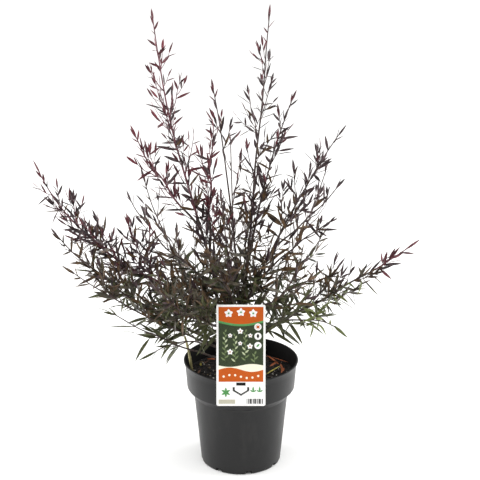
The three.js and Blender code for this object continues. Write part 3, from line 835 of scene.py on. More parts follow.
def plateShape():
    half, slotHalf = card["width"] / 2, card["slotWidth"] / 2
    plate = rectangle(-half, -card["below"], half, card["above"], card["corner"])
    slotHole = rectangle(-slotHalf, -card["slotHeight"], slotHalf, 0)
    return slab([plate, slotHole, tabSlit(0, -card["tabSlit"])], 0, card["thick"])


def strapShape():
    # an upright oblong section carried over the lip and down inside the wall, round two eased bends
    inside = -innerRadius(mix["top"] + 2) + card["strapInside"]
    over = pot["height"] + card["strapAbove"]
    front, foot = cardOrigin[1] - card["strapInto"], pot["height"] - card["strapDrop"]
    route = eased([(front, over), (inside, over), (inside, foot)], [card["strapBend"]], 9)
    heading = unit(np.gradient(route, axis=0))
    square = np.stack([-heading[:, 1], heading[:, 0]], axis=-1)
    wide, thick = card["strapWidth"] / 2, card["strapThick"] / 2
    rings = np.stack([
        np.concatenate([np.full((len(route), 1), x), route + square * thick * side], axis=1)
        for x, side in ((wide, 1), (wide, -1), (-wide, -1), (-wide, 1))
    ], axis=1)[None]
    return closedRings(rings, rings[:, 0].mean(axis=1), rings[:, -1].mean(axis=1))


# White polypropylene sheet: clean and satin, with the faintest grain from its calender rolls.
cardSheet = mottled("white polypropylene sheet", {
    "dark": "#f3f2ef", "light": "#fbfaf8", "grain": 3, "rough": (0.3, 0.38), "relief": 0.03,
})
plate = addPiece("card_plate", plateShape(), cardSheet, ["plant_card"], sharpDeg=30)
edgeRound = plate.modifiers.new("rounded edges", "BEVEL")
edgeRound.width = card["edgeRounding"] * metresPerMm
edgeRound.segments = 2
edgeRound.limit_method = "ANGLE"
addPiece("card_strap", strapShape(), cardSheet, ["plant_card"], sharpDeg=30)
for name, outlines in drawArtwork().items():
    # Offset ink on the sheet: flat and even, with a slight tooth that dulls the plastic's shine.
    dark, light = inks[name]
    ink = mottled(f"{name} ink", {
        "dark": dark, "light": light, "grain": 1.2, "rough": (0.36, 0.46), "relief": 0.02, "ior": 1.33,
    })
    base = card["thick"]
    sheets = [
        slab([outline], base - artwork["inkRoot"], base + artwork["inkDepth"] * layer)
        for layer, outline in outlines
    ]
    addPiece(f"card_{name}_ink", joinParts(sheets), ink, sharpDeg=30)
print("plant card")


# Lines: stems, shoots and twigs are all Bezier curves, kept in arrays with one row for each line

def bezier(control, share):
    # each control point weighs comb(d, j) t^j (1 - t)^(d - j)
    degree = control.shape[-2] - 1
    t = np.asarray(share)[..., None]
    weights = [math.comb(degree, j) * t ** j * (1 - t) ** (degree - j) for j in range(degree + 1)]
    return sum(weight * control[..., None, j, :] for j, weight in enumerate(weights))


def pointsOn(lines, share):
    # a line is the stretch from start to end of its curve, and sways sideways between the curve's two ends
    span = (lines["end"] - lines["start"])[:, None]
    t = lines["start"][:, None] + span * share
    wave = np.sin(2 * math.pi * lines["waves"][:, None] * t + lines["seed"][:, None]) * 4 * t * (1 - t)
    return bezier(lines["control"], t) + wave[..., None] * lines["sway"][:, None]


def headingsOn(lines, share):
    small = 1e-3
    return unit(pointsOn(lines, share + small) - pointsOn(lines, share - small))


def pick(lines, rows):
    return {key: value[rows] for key, value in lines.items()}


def stacked(groups):
    return {key: np.concatenate([group[key] for group in groups]) for key in groups[0]}


def sideways(headings):
    # a unit vector square to each heading, from one level reference
    return unit(np.cross((0.6, 0.8, 0.0), headings))


def leaning(along, turn, lean):
    # a heading that leans out from along by lean, turned about it
    across = sideways(along)
    square = np.cross(across, along)
    turn, lean = turn[..., None], lean[..., None]
    return along * np.cos(lean) + across * np.sin(lean) * np.cos(turn) + square * np.sin(lean) * np.sin(turn)


def tubesAlong(lines, rootRadius, tipRadius, rows, sides, relief=1):
    # rings of an evenly tapering radius along each line; relief multiplies it by line, row and corner
    share = np.linspace(0, 1, rows)[None] + np.zeros((len(lines["seed"]), 1))
    centre = pointsOn(lines, share)
    heading = headingsOn(lines, share)
    across = sideways(heading)
    square = np.cross(heading, across)
    angle = 2 * math.pi * np.arange(sides) / sides
    radius = (rootRadius + (tipRadius - rootRadius) * share)[..., None] * relief
    around = across[:, :, None] * np.cos(angle)[:, None] + square[:, :, None] * np.sin(angle)[:, None]
    rings = centre[:, :, None] + around * np.broadcast_to(radius, around.shape[:-1])[..., None]
    past = heading[:, -1] * 0.5 * np.reshape(tipRadius, (-1, 1))
    return closedRings(rings, centre[:, 0], centre[:, -1] + past)


def plainLine(curve):
    # one curve as a line that doesn't sway
    return {
        "control": curve[None], "start": np.zeros(1), "end": np.ones(1), "seed": np.zeros(1),
        "sway": np.zeros((1, 3)), "waves": np.ones(1),
    }


# The trunk and the limbs

trunk = {
    "top": (5, 1, 252),
    "bend": (-6, 3, 205),
    "straight": 30,
    "flareRadius": 7.6,
    "flareHeight": 9,
    "footRadius": 5,
    "tipRadius": 3.4,
}
trunkFoot = mix["top"] + mix["seatGap"]
trunkCurve = np.array([
    (0, 0, trunkFoot), (0, 0, trunkFoot + trunk["straight"]), trunk["bend"], trunk["top"],
], float)

# One line for each limb: what it leaves and where (a height above the mix on the trunk, or a share of another
# limb), the tip that it reaches, how far it sags out of straight, the share of it that is bare bough, and the
# number and reach of its side shoots, how full of leaves it is, and their tone from 0 (red) to 1 (green).
limbs = {
    "tall_right": ("trunk", 117, (40, 20, 668), 0, 0.22, 8, 140, 0.66, 0.53),
    "tall_left": ("trunk", 50, (-121, 30, 662), 16, 0.4, 7, 120, 0.7, 0.35),
    "far_left": ("tall_left", 0.1, (-285, 0, 454), 40, 0.26, 7, 95, 1.25, 0.4),
    "left_middle": ("trunk", 38, (-256, -80, 384), 20, 0.28, 6, 90, 1.25, 0.66),
    "left_front": ("trunk", 30, (-238, -112, 342), 10, 0.28, 6, 90, 0.5, 0.64),
    "left_back": ("tall_left", 0.17, (-166, 80, 388), 18, 0.22, 6, 80, 0.13, 0.56),
    "left_upper": ("tall_left", 0.36, (-154, 42, 492), 8, 0.24, 5, 75, 0.4, 0.27),
    "inner_left": ("tall_left", 0.27, (-35, -22, 520), -14, 0.26, 6, 80, 0.72, 0.25),
    "centre_back": ("trunk", 90, (-42, 64, 556), -10, 0.28, 6, 90, 0.45, 0.47),
    "centre_front": ("trunk", 101, (-27, -32, 424), 8, 0.26, 4, 65, 0.2, 0.56),
    "right_inner": ("tall_right", 0.12, (77, 34, 546), -8, 0.28, 5, 75, 0.48, 0.47),
    "right_upper": ("trunk", 94, (146, 50, 490), -8, 0.38, 6, 85, 0.65, 0.47),
    "right_middle": ("right_upper", 0.34, (140, -30, 435), 4, 0.24, 5, 75, 0.06, 0.46),
    "right_front": ("right_upper", 0.17, (134, -76, 398), -6, 0.3, 5, 75, 0.12, 0.48),
    "right_low": ("trunk", 52, (242, -40, 348), 4, 0.32, 7, 85, 0.95, 0.56),
    "right_foot": ("trunk", 33, (143, -112, 242), -34, 0.38, 4, 60, 0.5, 0.8),
    "left_foot": ("trunk", 22, (-130, -116, 208), -26, 0.42, 4, 60, 0.08, 0.88),
    "left_skirt": ("trunk", 13, (-186, -92, 272), 8, 0.34, 5, 70, 0.12, 0.88),
    "front_left": ("trunk", 70, (-118, -168, 340), 14, 0.26, 6, 80, 0.9, 0.64),
    "front_centre": ("trunk", 79, (-50, -118, 366), -10, 0.28, 5, 66, 0.8, 0.57),
    "front_right": ("trunk", 84, (98, -142, 336), -2, 0.32, 5, 74, 0.25, 0.6),
    "back_left": ("trunk", 45, (-150, 178, 392), 30, 0.3, 6, 95, 0.42, 0.5),
    "back_left_low": ("trunk", 26, (-118, 176, 292), 8, 0.32, 5, 80, 0.45, 0.72),
    "back_middle": ("trunk", 74, (-16, 196, 452), 30, 0.3, 6, 95, 0.3, 0.5),
    "back_right": ("trunk", 65, (132, 172, 410), 26, 0.3, 6, 95, 0.25, 0.5),
    "back_right_low": ("trunk", 43, (128, 158, 300), 6, 0.32, 5, 80, 0.35, 0.7),
}
limbNames = list(limbs)

# How shoots leave a stem, how leaves leave a shoot, and how much finer each order of twig is.
growth = {
    "golden": 137.5,
    "firstShoot": 0.05,
    "lastShoot": 0.84,
    "shootLean": (32, 16),
    "shootTaper": 1.05,
    "shootLift": 0.32,
    "twigLean": (40, 24),
    "twigCrowding": 1.7,
    "leafLean": (36, 44, 18),    # middle, spread, and how much more at a line's root
    "leafSag": 0.28,
    "leafTwist": 70,
    "lastLeaf": 0.94,
    "axilShare": {"stem": 0.55, "shoot": 0.3, "twig": 0.0, "sprig": 0.0, "inner": 0.0},
    "tuft": {"stem": 4, "shoot": 3, "twig": 1, "sprig": 1, "inner": 1},
    "shadeBelow": 360,           # low leaves grow longer: below this height, over this depth, by this share
    "shadeDepth": 150,
    "shadeGain": 0.38,
    "openAbove": 455,            # the tall tips are open: above this height, over this depth, by these shares
    "openDepth": 110,
    "openShare": 0.5,
    "openShrink": 0.14,
    "leafShrink": 0.44,
    "crowding": {"stem": 2.0, "shoot": 1.3, "twig": 1, "sprig": 1, "inner": 1},  # above 1, closer at the root
    "boughRoot": 0.9,
    "boughGain": 0.0048,
    "slimmest": 0.6,             # a limb with no leaves would have this share of a full stem's root radius
    "sagShares": (0.9, 1.7),     # of the sag, at the two middle control points
    "highestFork": 0.97,
    "tipLeafPast": 0.9,          # how much of its tip leaf reaches past a stem's end
    "sourceTipLeaf": 24,         # the tip leaf of the source's own stems
    "shootKnee": 0.45,
    "shootSway": 0.018,
    "shootCuts": (0.3, 0.45, 0.6, 0.75, 0.9, 1),       # the shares of its length that a shoot can be cut to
    "stemSway": 2.2,
    "orders": {              # root and tip radius, leaf length, leaf spacing, first leaf, fewest leaves
        "stem": (1.9, 0.7, 33, 10.5, 0.03, 8),
        "shoot": (0.9, 0.45, 31, 9, 0.1, 3),
        "twig": (0.55, 0.38, 28, 7.5, 0.15, 2),
        "sprig": (0.55, 0.38, 28, 7.5, 0.15, 2),
        "inner": (0.65, 0.38, 33, 7.5, 0.12, 3),
    },
    "spacing": {"twig": 13, "sprig": 20, "inner": 6.5},
    "innerFrom": 0.2,
    "innerFullness": 0.5,
    "innerAbove": 205,
    "firstSeed": {"twig": 3000, "sprig": 9000, "inner": 15000},
    "thinnest": 0.4,             # share of its least leaves and its tuft that a line of no fullness keeps
    "keptOpen": ((-88, -150, 130), (-63, -4, 204)),       # corners of the space in front of the pale shoot
    "skyPitch": 19.1,            # how steeply the photo looks down on the crown, in degrees
    "sky": (                     # places where it shows sky: left, right, foot and top on the trunk's plane,
        (-36, -6, 404, 476, 0.8),        # and the share of the leaves that are left out there
        (-70, -36, 477, 511, 0.6),
        (-134, -102, 373, 408, 0.6),
        (-176, -136, 190, 232, 0.65),
        (67, 102, 190, 229, 0.5),
        (167, 215, 302, 330, 0.3),
        (66, 100, 338, 373, 0.45),
        (98, 132, 373, 408, 0.4),
        (0, 32, 443, 477, 0.35),
    ),
}
leafEdge = 0.147             # a full leaf's width as a share of its length
clearance = {"limb": 1.2, "pot": 2, "shoot": 1.5, "twig": 3, "leaf": 2.5}


def layLimbs():
    # roots lie on the parent's curve; the two middle control points hang below the chord by shares of the sag
    rows, curves = [], {}
    tipLeaf = growth["orders"]["stem"][2] * (1 - growth["leafShrink"])
    early, late = growth["sagShares"]
    for index, (name, (on, at, tip, bow, bare, shoots, reach, full, tone)) in enumerate(limbs.items()):
        parent = curves.get(on, trunkCurve)
        share = at if on in curves else min(at / (trunk["top"][2] - mix["top"]), growth["highestFork"])
        root = bezier(parent, np.array([share]))[0]
        chord = np.array(tip, float) - root
        along = unit(chord)
        sag = -unit(np.array([0, 0, 1]) - along * along[2])
        curve = np.stack([
            root,
            root + chord / 3 + early * bow * sag,
            root + chord * 2 / 3 + late * bow * sag,
            tip,
        ])
        curves[name] = curve
        length = np.linalg.norm(np.diff(bezier(curve, np.linspace(0, 1, 201)), axis=0), axis=1).sum()
        rows.append({
            "control": curve, "bare": bare, "whole": length, "shoots": shoots, "reach": reach, "full": full,
            "tone": tone, "seed": index + 1, "limb": index,
            "end": 1 - growth["tipLeafPast"] * tipLeaf / length,
        })
    laid = {key: np.array([row[key] for row in rows]) for key in rows[0]}
    laid["radius"] = growth["boughRoot"] + growth["boughGain"] * laid["whole"]
    laid["sway"] = anyHeading(laid["seed"]) * growth["stemSway"]
    laid["waves"] = 2 + 1.5 * chance(laid["seed"], 710)
    return laid


laid = layLimbs()
limbCount = len(limbs)


def stretchOf(source, start, end):
    # the part of each limb from one share to another, as lines of their own
    kept = {key: source[key] for key in ("control", "seed", "limb", "full", "tone", "sway", "waves")}
    return {**kept, "start": start + 0 * source["bare"], "end": end + 0 * source["bare"],
            "length": source["whole"] * (end - start)}


boughs = stretchOf(laid, 0, laid["bare"])
stems = stretchOf(laid, laid["bare"], laid["end"])
sourceStems = {**stems, "end": 1 - growth["tipLeafPast"] * growth["sourceTipLeaf"] / laid["whole"]}


def slimness(full):
    # a limb that carries few leaves is slimmer where its bough becomes its stem
    return growth["slimmest"] + (1 - growth["slimmest"]) * np.clip(full, 0, 1)


# Each mass keeps the space that is nearer its own stem than any other stem

samples = np.linspace(0, 1, 15)[None] + np.zeros((limbCount, 1))
calm = {"sway": 0 * laid["sway"]}
stemChains = pointsOn({**sourceStems, **calm}, samples)
boughChains = pointsOn({**boughs, **calm}, samples)
trunkChain = bezier(trunkCurve, samples[0])[None]


def clearOfPotAndCard(points, margin):
    overPot = (np.hypot(points[..., 0], points[..., 1]) < pot["lipRadius"] + margin) \
        & (points[..., 2] < pot["height"] + margin)
    fromCard = points - cardOrigin
    height, depth = fromCard @ cardUp, fromCard @ cardNormal
    nearCard = (np.abs(points[..., 0]) < card["width"] / 2 + margin) & (height > -card["below"] - margin) \
        & (height < card["above"] + margin + card["clearSpread"] * np.maximum(depth, 0)) \
        & (depth > -card["clearBehind"]) & (depth < card["clearInFront"])
    low, high = np.array(growth["keptOpen"])
    nearShoot = ((points > low) & (points < high)).all(axis=-1)
    return ~overPot & ~nearCard & ~nearShoot


def inSky(points, luck):
    # each point is seen at its height raised by its depth times the tangent of the pitch
    seen = points[:, 2] + points[:, 1] * math.tan(math.radians(growth["skyPitch"]))
    left, right, foot, top, share = np.array(growth["sky"]).T
    across = points[:, 0:1]
    there = (across > left) & (across < right) & (seen[:, None] > foot) & (seen[:, None] < top)
    return (there & (luck[:, None] < share)).any(axis=1)


def distanceTo(chains, points):
    # from every point to every chain: the least distance to its straight pieces
    start = chains[:, :-1]
    piece = chains[:, 1:] - start
    offset = points[:, None, None] - start
    share = np.clip((offset * piece).sum(-1) / (piece * piece).sum(-1), 0, 1)
    return np.linalg.norm(offset - share[..., None] * piece, axis=-1).min(axis=-1)


def inOwnSpace(points, limb, margin):
    toStems = distanceTo(stemChains, points)
    own = toStems[np.arange(len(points)), limb]
    toStems[np.arange(len(points)), limb] = np.inf
    return clearOfPotAndCard(points, margin + clearance["pot"]) \
        & (distanceTo(trunkChain, points)[:, 0] >= trunk["footRadius"] + clearance["limb"] + margin) \
        & (distanceTo(boughChains, points) >= laid["radius"] + clearance["limb"] + margin).all(axis=1) \
        & (toStems >= own[:, None] + 2 * margin).all(axis=1)


def branchOff(parents, at, turn, leanDeg, length, seed):
    # a curve of three points: out along its lean, then lifted towards the light
    root = pointsOn(parents, at[:, None])[:, 0]
    start = leaning(headingsOn(parents, at[:, None])[:, 0], turn, np.radians(leanDeg))
    end = unit(start + np.array([0, 0, growth["shootLift"]]))
    long = length[:, None]
    return {
        "control": np.stack([root, root + growth["shootKnee"] * long * start, root + long * end], axis=1),
        "seed": seed, "limb": parents["limb"], "full": parents["full"], "tone": parents["tone"],
        "sway": anyHeading(seed) * growth["shootSway"] * long, "waves": 1 + chance(seed, 710),
        "start": np.zeros(len(seed)), "end": np.ones(len(seed)), "length": length,
    }


def sideShoots():
    # the source's own side shoots: each leaves at its turn of a spiral, and is cut back to its mass's space
    row = np.repeat(np.arange(limbCount), laid["shoots"])
    step = np.concatenate([np.arange(count) for count in laid["shoots"]])
    parents = pick(sourceStems, row)
    seed, number = parents["seed"], laid["shoots"][row]
    spread = growth["lastShoot"] - growth["firstShoot"]
    at = growth["firstShoot"] + spread * (step + 0.6 * chance(seed, step)) / number
    turn = np.radians(growth["golden"] * step + 360 * chance(seed, 50))
    lean = growth["shootLean"][0] + growth["shootLean"][1] * (chance(seed, 100 + step) - 0.5)
    reach = laid["reach"][row] * (1 - at) ** growth["shootTaper"]
    length = reach * (0.75 + 0.4 * chance(seed, 150 + step))
    shoots = branchOff(parents, at, turn, lean, length, seed * 40 + step)
    # out is how many of the cuts in a row lie in free space, and the last of them is where the shoot ends
    cuts = np.array([0, *growth["shootCuts"]])
    tried = pointsOn({**shoots, "sway": 0 * shoots["sway"]}, cuts[1:][None] + np.zeros((len(row), 1)))
    free = inOwnSpace(tried.reshape(-1, 3), np.repeat(shoots["limb"], len(cuts) - 1), clearance["shoot"])
    free = np.concatenate([free.reshape(len(row), -1), np.zeros((len(row), 1), bool)], axis=1)
    out = np.argmin(free, axis=1)
    shoots["end"], shoots["length"] = cuts[out], length * cuts[out]
    ends = pointsOn(shoots, np.ones((len(row), 1)))[:, 0]
    return pick(shoots, (out >= 2) & ~inSky(ends, chance(shoots["seed"], 5)))


def dealt(count):
    # so many steps for each line: the line's row, the step, and how many the line has
    count = count.astype(int)
    row = np.repeat(np.arange(len(count)), count)
    step = np.arange(len(row)) - np.repeat(np.cumsum(count) - count, count)
    return row, step, count[row]


def spaced(lines, spacing, fullness, fewest=0):
    # steps along every line, one for each spacing of its length
    return dealt(np.maximum(fewest, np.round(lines["length"] * fullness / spacing)))


def finerTwigs(kind, parents, length, first=0.06, last=0.92):
    # the same rule, one order finer: length is a function of the twig's place, its parent's length and chance
    row, step, number = spaced(parents, growth["spacing"][kind], parents["full"])
    holders = pick(parents, row)
    seed = holders["seed"] * 50 + step + growth["firstSeed"][kind]
    at = first + (last - first) * ((step + 0.6 * chance(seed, 1)) / number) ** growth["twigCrowding"]
    turn = np.radians(growth["golden"] * step + 360 * chance(holders["seed"], 60))
    lean = growth["twigLean"][0] + growth["twigLean"][1] * (chance(seed, 2) - 0.5)
    twigs = branchOff(holders, at, turn, lean, length(at, holders["length"], chance(seed, 3)), seed)
    ends = pointsOn(twigs, np.array([[0.5, 1.0]]) + np.zeros((len(row), 1)))
    clear = clearOfPotAndCard(ends, clearance["twig"]).all(axis=1)
    return pick(twigs, clear & ~inSky(ends[:, 1], chance(seed, 4)))


def twigLength(at, whole, luck):
    # longest at the root of a long shoot
    return (9 + 0.5 * (1 - at) * whole) * (0.6 + 0.6 * luck)


def sprigLength(at, whole, luck):
    # shorter towards the stem's tip, whatever the stem's length
    return 9 + (38 - 24 * at) * luck


def innerLength(at, whole, luck):
    # the same all along a bough
    return 16 + 34 * luck


shoots = sideShoots()
twigs = finerTwigs("twig", shoots, twigLength)
sprigs = finerTwigs("sprig", stems, sprigLength)
leafyBoughs = {**boughs, "full": np.maximum(boughs["full"], growth["innerFullness"])}
inner = finerTwigs("inner", leafyBoughs, innerLength, growth["innerFrom"])
inner = pick(inner, inner["control"][:, 0, 2] > growth["innerAbove"])
orders = {"stem": stems, "shoot": shoots, "twig": twigs, "sprig": sprigs, "inner": inner}
print("growth: " + ", ".join(f"{len(lines['seed'])} {kind}" for kind, lines in orders.items()))


# Bark: one mesh for the trunk and the boughs, with long shallow furrows

bark = {
    "trunkRings": (130, 28),     # rows and sides
    "boughRings": (70, 14),
    "trunkFurrows": 0.055,       # depths as shares of the radius
    "boughFurrows": 0.05,
    "ridges": (5, 8),            # round the limb
    "wander": 23,
    "flakes": (2.3, 3.7),
    "rootLobes": (4, 0.16, 7),       # how many, how deep, and the height over which they fade
    "collar": (0.55, 6),         # the swelling where a bough leaves its parent, and its length
    "fibresPerMm": 0.62,
    "patchesPerMm": 0.07,
    "patches": ("#271e1b", "#382a26"),
    "fibres": "#5c5048",
}


def barkRelief(seed, rows, sides, length, depth):
    # ridges that run along the limb and wander round it, broken by shorter flakes
    angle = 2 * math.pi * np.arange(sides) / sides
    run = (np.linspace(0, 1, rows)[None] * length[:, None])[..., None]
    seed = seed[:, None, None]
    few, many = bark["ridges"]
    short, long = bark["flakes"]
    lean = 0.6 * np.sin(run / bark["wander"] + seed)
    ridges = np.sin(few * (angle + lean) + seed) * 0.5 + np.sin(many * (angle - 0.6 * lean)) * 0.3
    flakes = np.sin(3 * angle + run / short + seed * 3) * np.sin(2 * angle - run / long)
    return 1 + depth * (ridges + 0.8 * flakes)


def trunkShape():
    rows, sides = bark["trunkRings"]
    length = trunk["top"][2] - mix["top"]
    height = np.linspace(0, 1, rows) * length
    spread = trunk["flareRadius"] - trunk["footRadius"]
    flare = spread * np.maximum(0, 1 - height / trunk["flareHeight"]) ** 2
    plain = trunk["footRadius"] + (trunk["tipRadius"] - trunk["footRadius"]) * height / length
    count, deep, fade = bark["rootLobes"]
    lobes = np.sin(count * 2 * math.pi * np.arange(sides) / sides)
    lobes = 1 + deep * np.exp(-height / fade)[:, None] * lobes
    relief = barkRelief(np.array([2.0]), rows, sides, np.array([length]), bark["trunkFurrows"])
    relief = relief * lobes[None] * (1 + flare / plain)[None, :, None]
    return tubesAlong(plainLine(trunkCurve), trunk["footRadius"], trunk["tipRadius"], rows, sides, relief)


def boughsShape():
    # each bough swells into a collar where it leaves its parent
    rows, sides = bark["boughRings"]
    run = np.linspace(0, 1, rows)[None] * boughs["length"][:, None]
    swelling, long = bark["collar"]
    collar = 1 + swelling * np.exp(-run / long)[..., None]
    seed = boughs["seed"].astype(float)
    relief = barkRelief(seed, rows, sides, boughs["length"], bark["boughFurrows"]) * collar
    tip = np.minimum(laid["radius"], growth["orders"]["stem"][0] * slimness(boughs["full"]))
    return tubesAlong(boughs, laid["radius"][:, None], tip[:, None], rows, sides, relief)


def stringyBark():
    # Thin stringy bark: grey-brown fibres that run along the limb over a redder skin, matt all over.
    material, tree = newTree("stringy bark")
    place = objectPlace(tree)
    fibres = noiseOn(tree, stretched(tree, place, (1, 1, 0.22)), bark["fibresPerMm"], 4.0, 0.7)
    patches = noiseOn(tree, place, bark["patchesPerMm"], 2.0)
    skinTone = blended(tree, patches, *bark["patches"])
    tones = blended(tree, ranged(tree, fibres, (0.42, 0.66)), skinTone, bark["fibres"])
    relief = bumped(tree, fibres, 0.7, 0.6)
    addSkin(tree, tones, ranged(tree, fibres, (0.0, 1.0), (0.7, 0.95)), relief)
    return material


addPiece("bark", joinParts([trunkShape(), boughsShape()]), stringyBark(),
         ["trunk", *(f"bough_{name}" for name in limbNames)], sharpDeg=60)


# Twigs: stems, shoots, twigs and sprigs, red on the limbs of lower tone and brown on the others

# rows and sides of the tubes of each order
twigRows = {"stem": (44, 8), "shoot": (14, 6), "twig": (7, 6), "sprig": (7, 6), "inner": (9, 6)}
redBelow = 0.45              # limbs of a lower tone have red stems
freshTip = {                 # one limb's outer growth is still red
    "limb": "right_low",
    "from": 0.72,
    "fromAcross": 190,
    "redder": 0.36,
}
freshLimb = limbNames.index(freshTip["limb"])


def stretchesOf(kind):
    # the lines of an order with their radii; a fresh limb's stem is cut in two, and its outer part is red
    lines = orders[kind]
    root, tip = growth["orders"][kind][:2]
    level = 0 * lines["start"]
    slim = slimness(lines["full"]) if kind == "stem" else 1
    red = lines["tone"] < redBelow
    lines = {**lines, "rootRadius": level + root * slim, "tipRadius": level + tip, "red": red}
    fresh = (lines["limb"] == freshLimb) & (kind == "stem")
    whole = pick(lines, fresh)
    turn = whole["start"] + (whole["end"] - whole["start"]) * freshTip["from"]
    middle = whole["rootRadius"] + (whole["tipRadius"] - whole["rootRadius"]) * freshTip["from"]
    inner = {**whole, "end": turn, "tipRadius": middle}
    outer = {**whole, "start": turn, "rootRadius": middle, "red": ~whole["red"]}
    return stacked([pick(lines, ~fresh), inner, outer])


def twigShapes(kinds, red):
    shapes = []
    for kind in kinds:
        lines = stretchesOf(kind)
        lines = pick(lines, lines["red"] == red)
        radii = lines["rootRadius"][:, None], lines["tipRadius"][:, None]
        shapes.append(tubesAlong(lines, *radii, *twigRows[kind]))
    return joinParts(shapes)


massNames = [f"foliage_{name}" for name in limbNames]
youngBark = {
    # This year's wood on the sunny limbs: red-purple and slightly waxy, so it shows as bright lines.
    "red": {"stems": ("#482029", "#71404a"), "twigs": ("#451d26", "#6e3641"), "grain": 9},
    # Elsewhere: brown-grey, with a thin dull skin.
    "brown": {"stems": ("#271b1b", "#46332f"), "twigs": ("#2e1f1f", "#523e3b"), "grain": 6},
}
for colour, look in youngBark.items():
    red = colour == "red"
    nodes = [massNames[limb] for limb in np.unique(stems["limb"][(stems["tone"] < redBelow) == red])]
    for part, kinds in (("stems", ["stem"]), ("twigs", ["shoot", "twig", "sprig"])):
        skin = mottled(f"{colour} young bark of the {part}", {
            "dark": look[part][0], "light": look[part][1], "grain": look["grain"], "rough": (0.45, 0.65),
            "relief": 0.2,
        })
        addPiece(f"{colour}_{part}", twigShapes(kinds, red), skin, nodes)
# Second-year wood in the shade: dull brown.
shadedSkin = mottled("dull brown twig skin", {
    "dark": "#231c18", "light": "#40352d", "grain": 5, "rough": (0.55, 0.75), "relief": 0.3,
})
innerTwigs = joinParts([twigShapes(["inner"], red) for red in (True, False)])
addPiece("inner_twigs", innerTwigs, shadedSkin)


# Leaves

blade = {
    "rows": (0.07, 0.2, 0.36, 0.54, 0.72, 0.88),   # where the blade's rings lie, as shares of its length
    "fold": 0.26,            # how far the margins stand above the midrib, as a share of half the width
    "ridge": 0.07,
    "keel": 0.22,
    "bend": 0.1,             # how far the tip bends, as a share of the length
    "droop": 0.3,            # how much further it bends down, low in the crown
}
axilStep = 1000              # the steps of axil leaves and of tuft leaves count on from here
tuftStep = 2000


def leafPlaces(kind, lines):
    # leaves in a spiral along each line, a smaller one out of some of their axils, and a tuft at the tip
    leafLength, spacing, first, fewest = growth["orders"][kind][2:]
    least = np.minimum(1, growth["thinnest"] + lines["full"])
    row, step, number = spaced(lines, spacing, lines["full"] ** 0.5, np.round(fewest * least))
    seed = lines["seed"][row]
    run = (step + 0.5 * chance(seed, 200 + step)) / number
    at = first + (growth["lastLeaf"] - first) * run ** growth["crowding"][kind]
    middle, wander, droop = growth["leafLean"]
    single = {
        "row": row, "step": step, "at": at, "turn": growth["golden"] * step + 360 * chance(seed, 250),
        "lean": middle + wander * (chance(seed, 300 + step) - 0.5) + droop * (1 - at),
        "length": leafLength * (1 - growth["leafShrink"] * at) * (0.68 + 0.5 * chance(seed, 400 + step)),
    }
    axil = pick(single, chance(seed, 550 + step) < growth["axilShare"][kind])
    again = chance(axil["length"], axil["step"])
    axil.update(step=axil["step"] + axilStep, turn=axil["turn"] + 90 * (again - 0.5),
                lean=12 + 20 * again, length=axil["length"] * (0.4 + 0.3 * again))
    row, step, _ = dealt(np.ceil(growth["tuft"][kind] * least))
    luck = chance(lines["seed"][row], 600 + step)
    tuft = {
        "row": row, "step": step + tuftStep, "at": 0.985 - 0.022 * step,
        "turn": growth["golden"] * step + 90 * luck, "lean": 5 + (8 + 8 * luck) * step,
        "length": leafLength * (0.62 - 0.07 * step) * (0.8 + 0.4 * luck),
    }
    return stacked([single, axil, tuft])


def leavesOn(kind, lines):
    places = leafPlaces(kind, lines)
    holders, step, at = pick(lines, places["row"]), places["step"], places["at"]
    seed = holders["seed"]
    root = pointsOn(holders, at[:, None])[:, 0]
    along = headingsOn(holders, at[:, None])[:, 0]
    shade = np.clip((growth["shadeBelow"] - root[:, 2]) / growth["shadeDepth"], 0, 1)
    heading = leaning(along, np.radians(places["turn"]), np.radians(places["lean"]))
    heading = unit(heading - np.array([0, 0, growth["leafSag"]]) * ((1 - at) * (0.4 + shade))[:, None])
    twist = np.radians(2 * growth["leafTwist"] * (chance(seed, 350 + step) - 0.5))[:, None]
    flat = unit(np.cross(along, heading))
    wide = flat * np.cos(twist) + np.cross(heading, flat) * np.sin(twist)
    tall = np.clip((root[:, 2] - growth["openAbove"]) / growth["openDepth"], 0, 1)
    length = places["length"] * (1 + growth["shadeGain"] * shade - growth["openShrink"] * tall)
    down = -np.sign(np.cross(heading, wide)[:, 2])
    leaves = {
        "root": root, "heading": heading, "wide": wide, "length": length,
        "width": leafEdge * np.sqrt(length * growth["orders"][kind][2]),
        "bend": blade["bend"] * (2 * chance(seed, 450 + step) - 0.8)
        + blade["droop"] * down * shade * chance(seed, 460 + step),
        "limb": holders["limb"], "tone": holders["tone"], "spray": seed, "age": 1 - at,
        "luck": chance(seed, 500 + step),
    }
    leaves["tender"] = np.clip((at - 0.9) / 0.05, 0, 1)
    tried = root[:, None] + heading[:, None] * np.array([0.35, 0.65, 1])[:, None] * length[:, None, None]
    kept = (chance(seed, 650 + step) > growth["openShare"] * tall) | (step >= tuftStep)
    kept &= ~inSky(tried[:, 1], chance(seed, 670 + step))
    return pick(leaves, kept & clearOfPotAndCard(tried, clearance["leaf"]).all(axis=1))


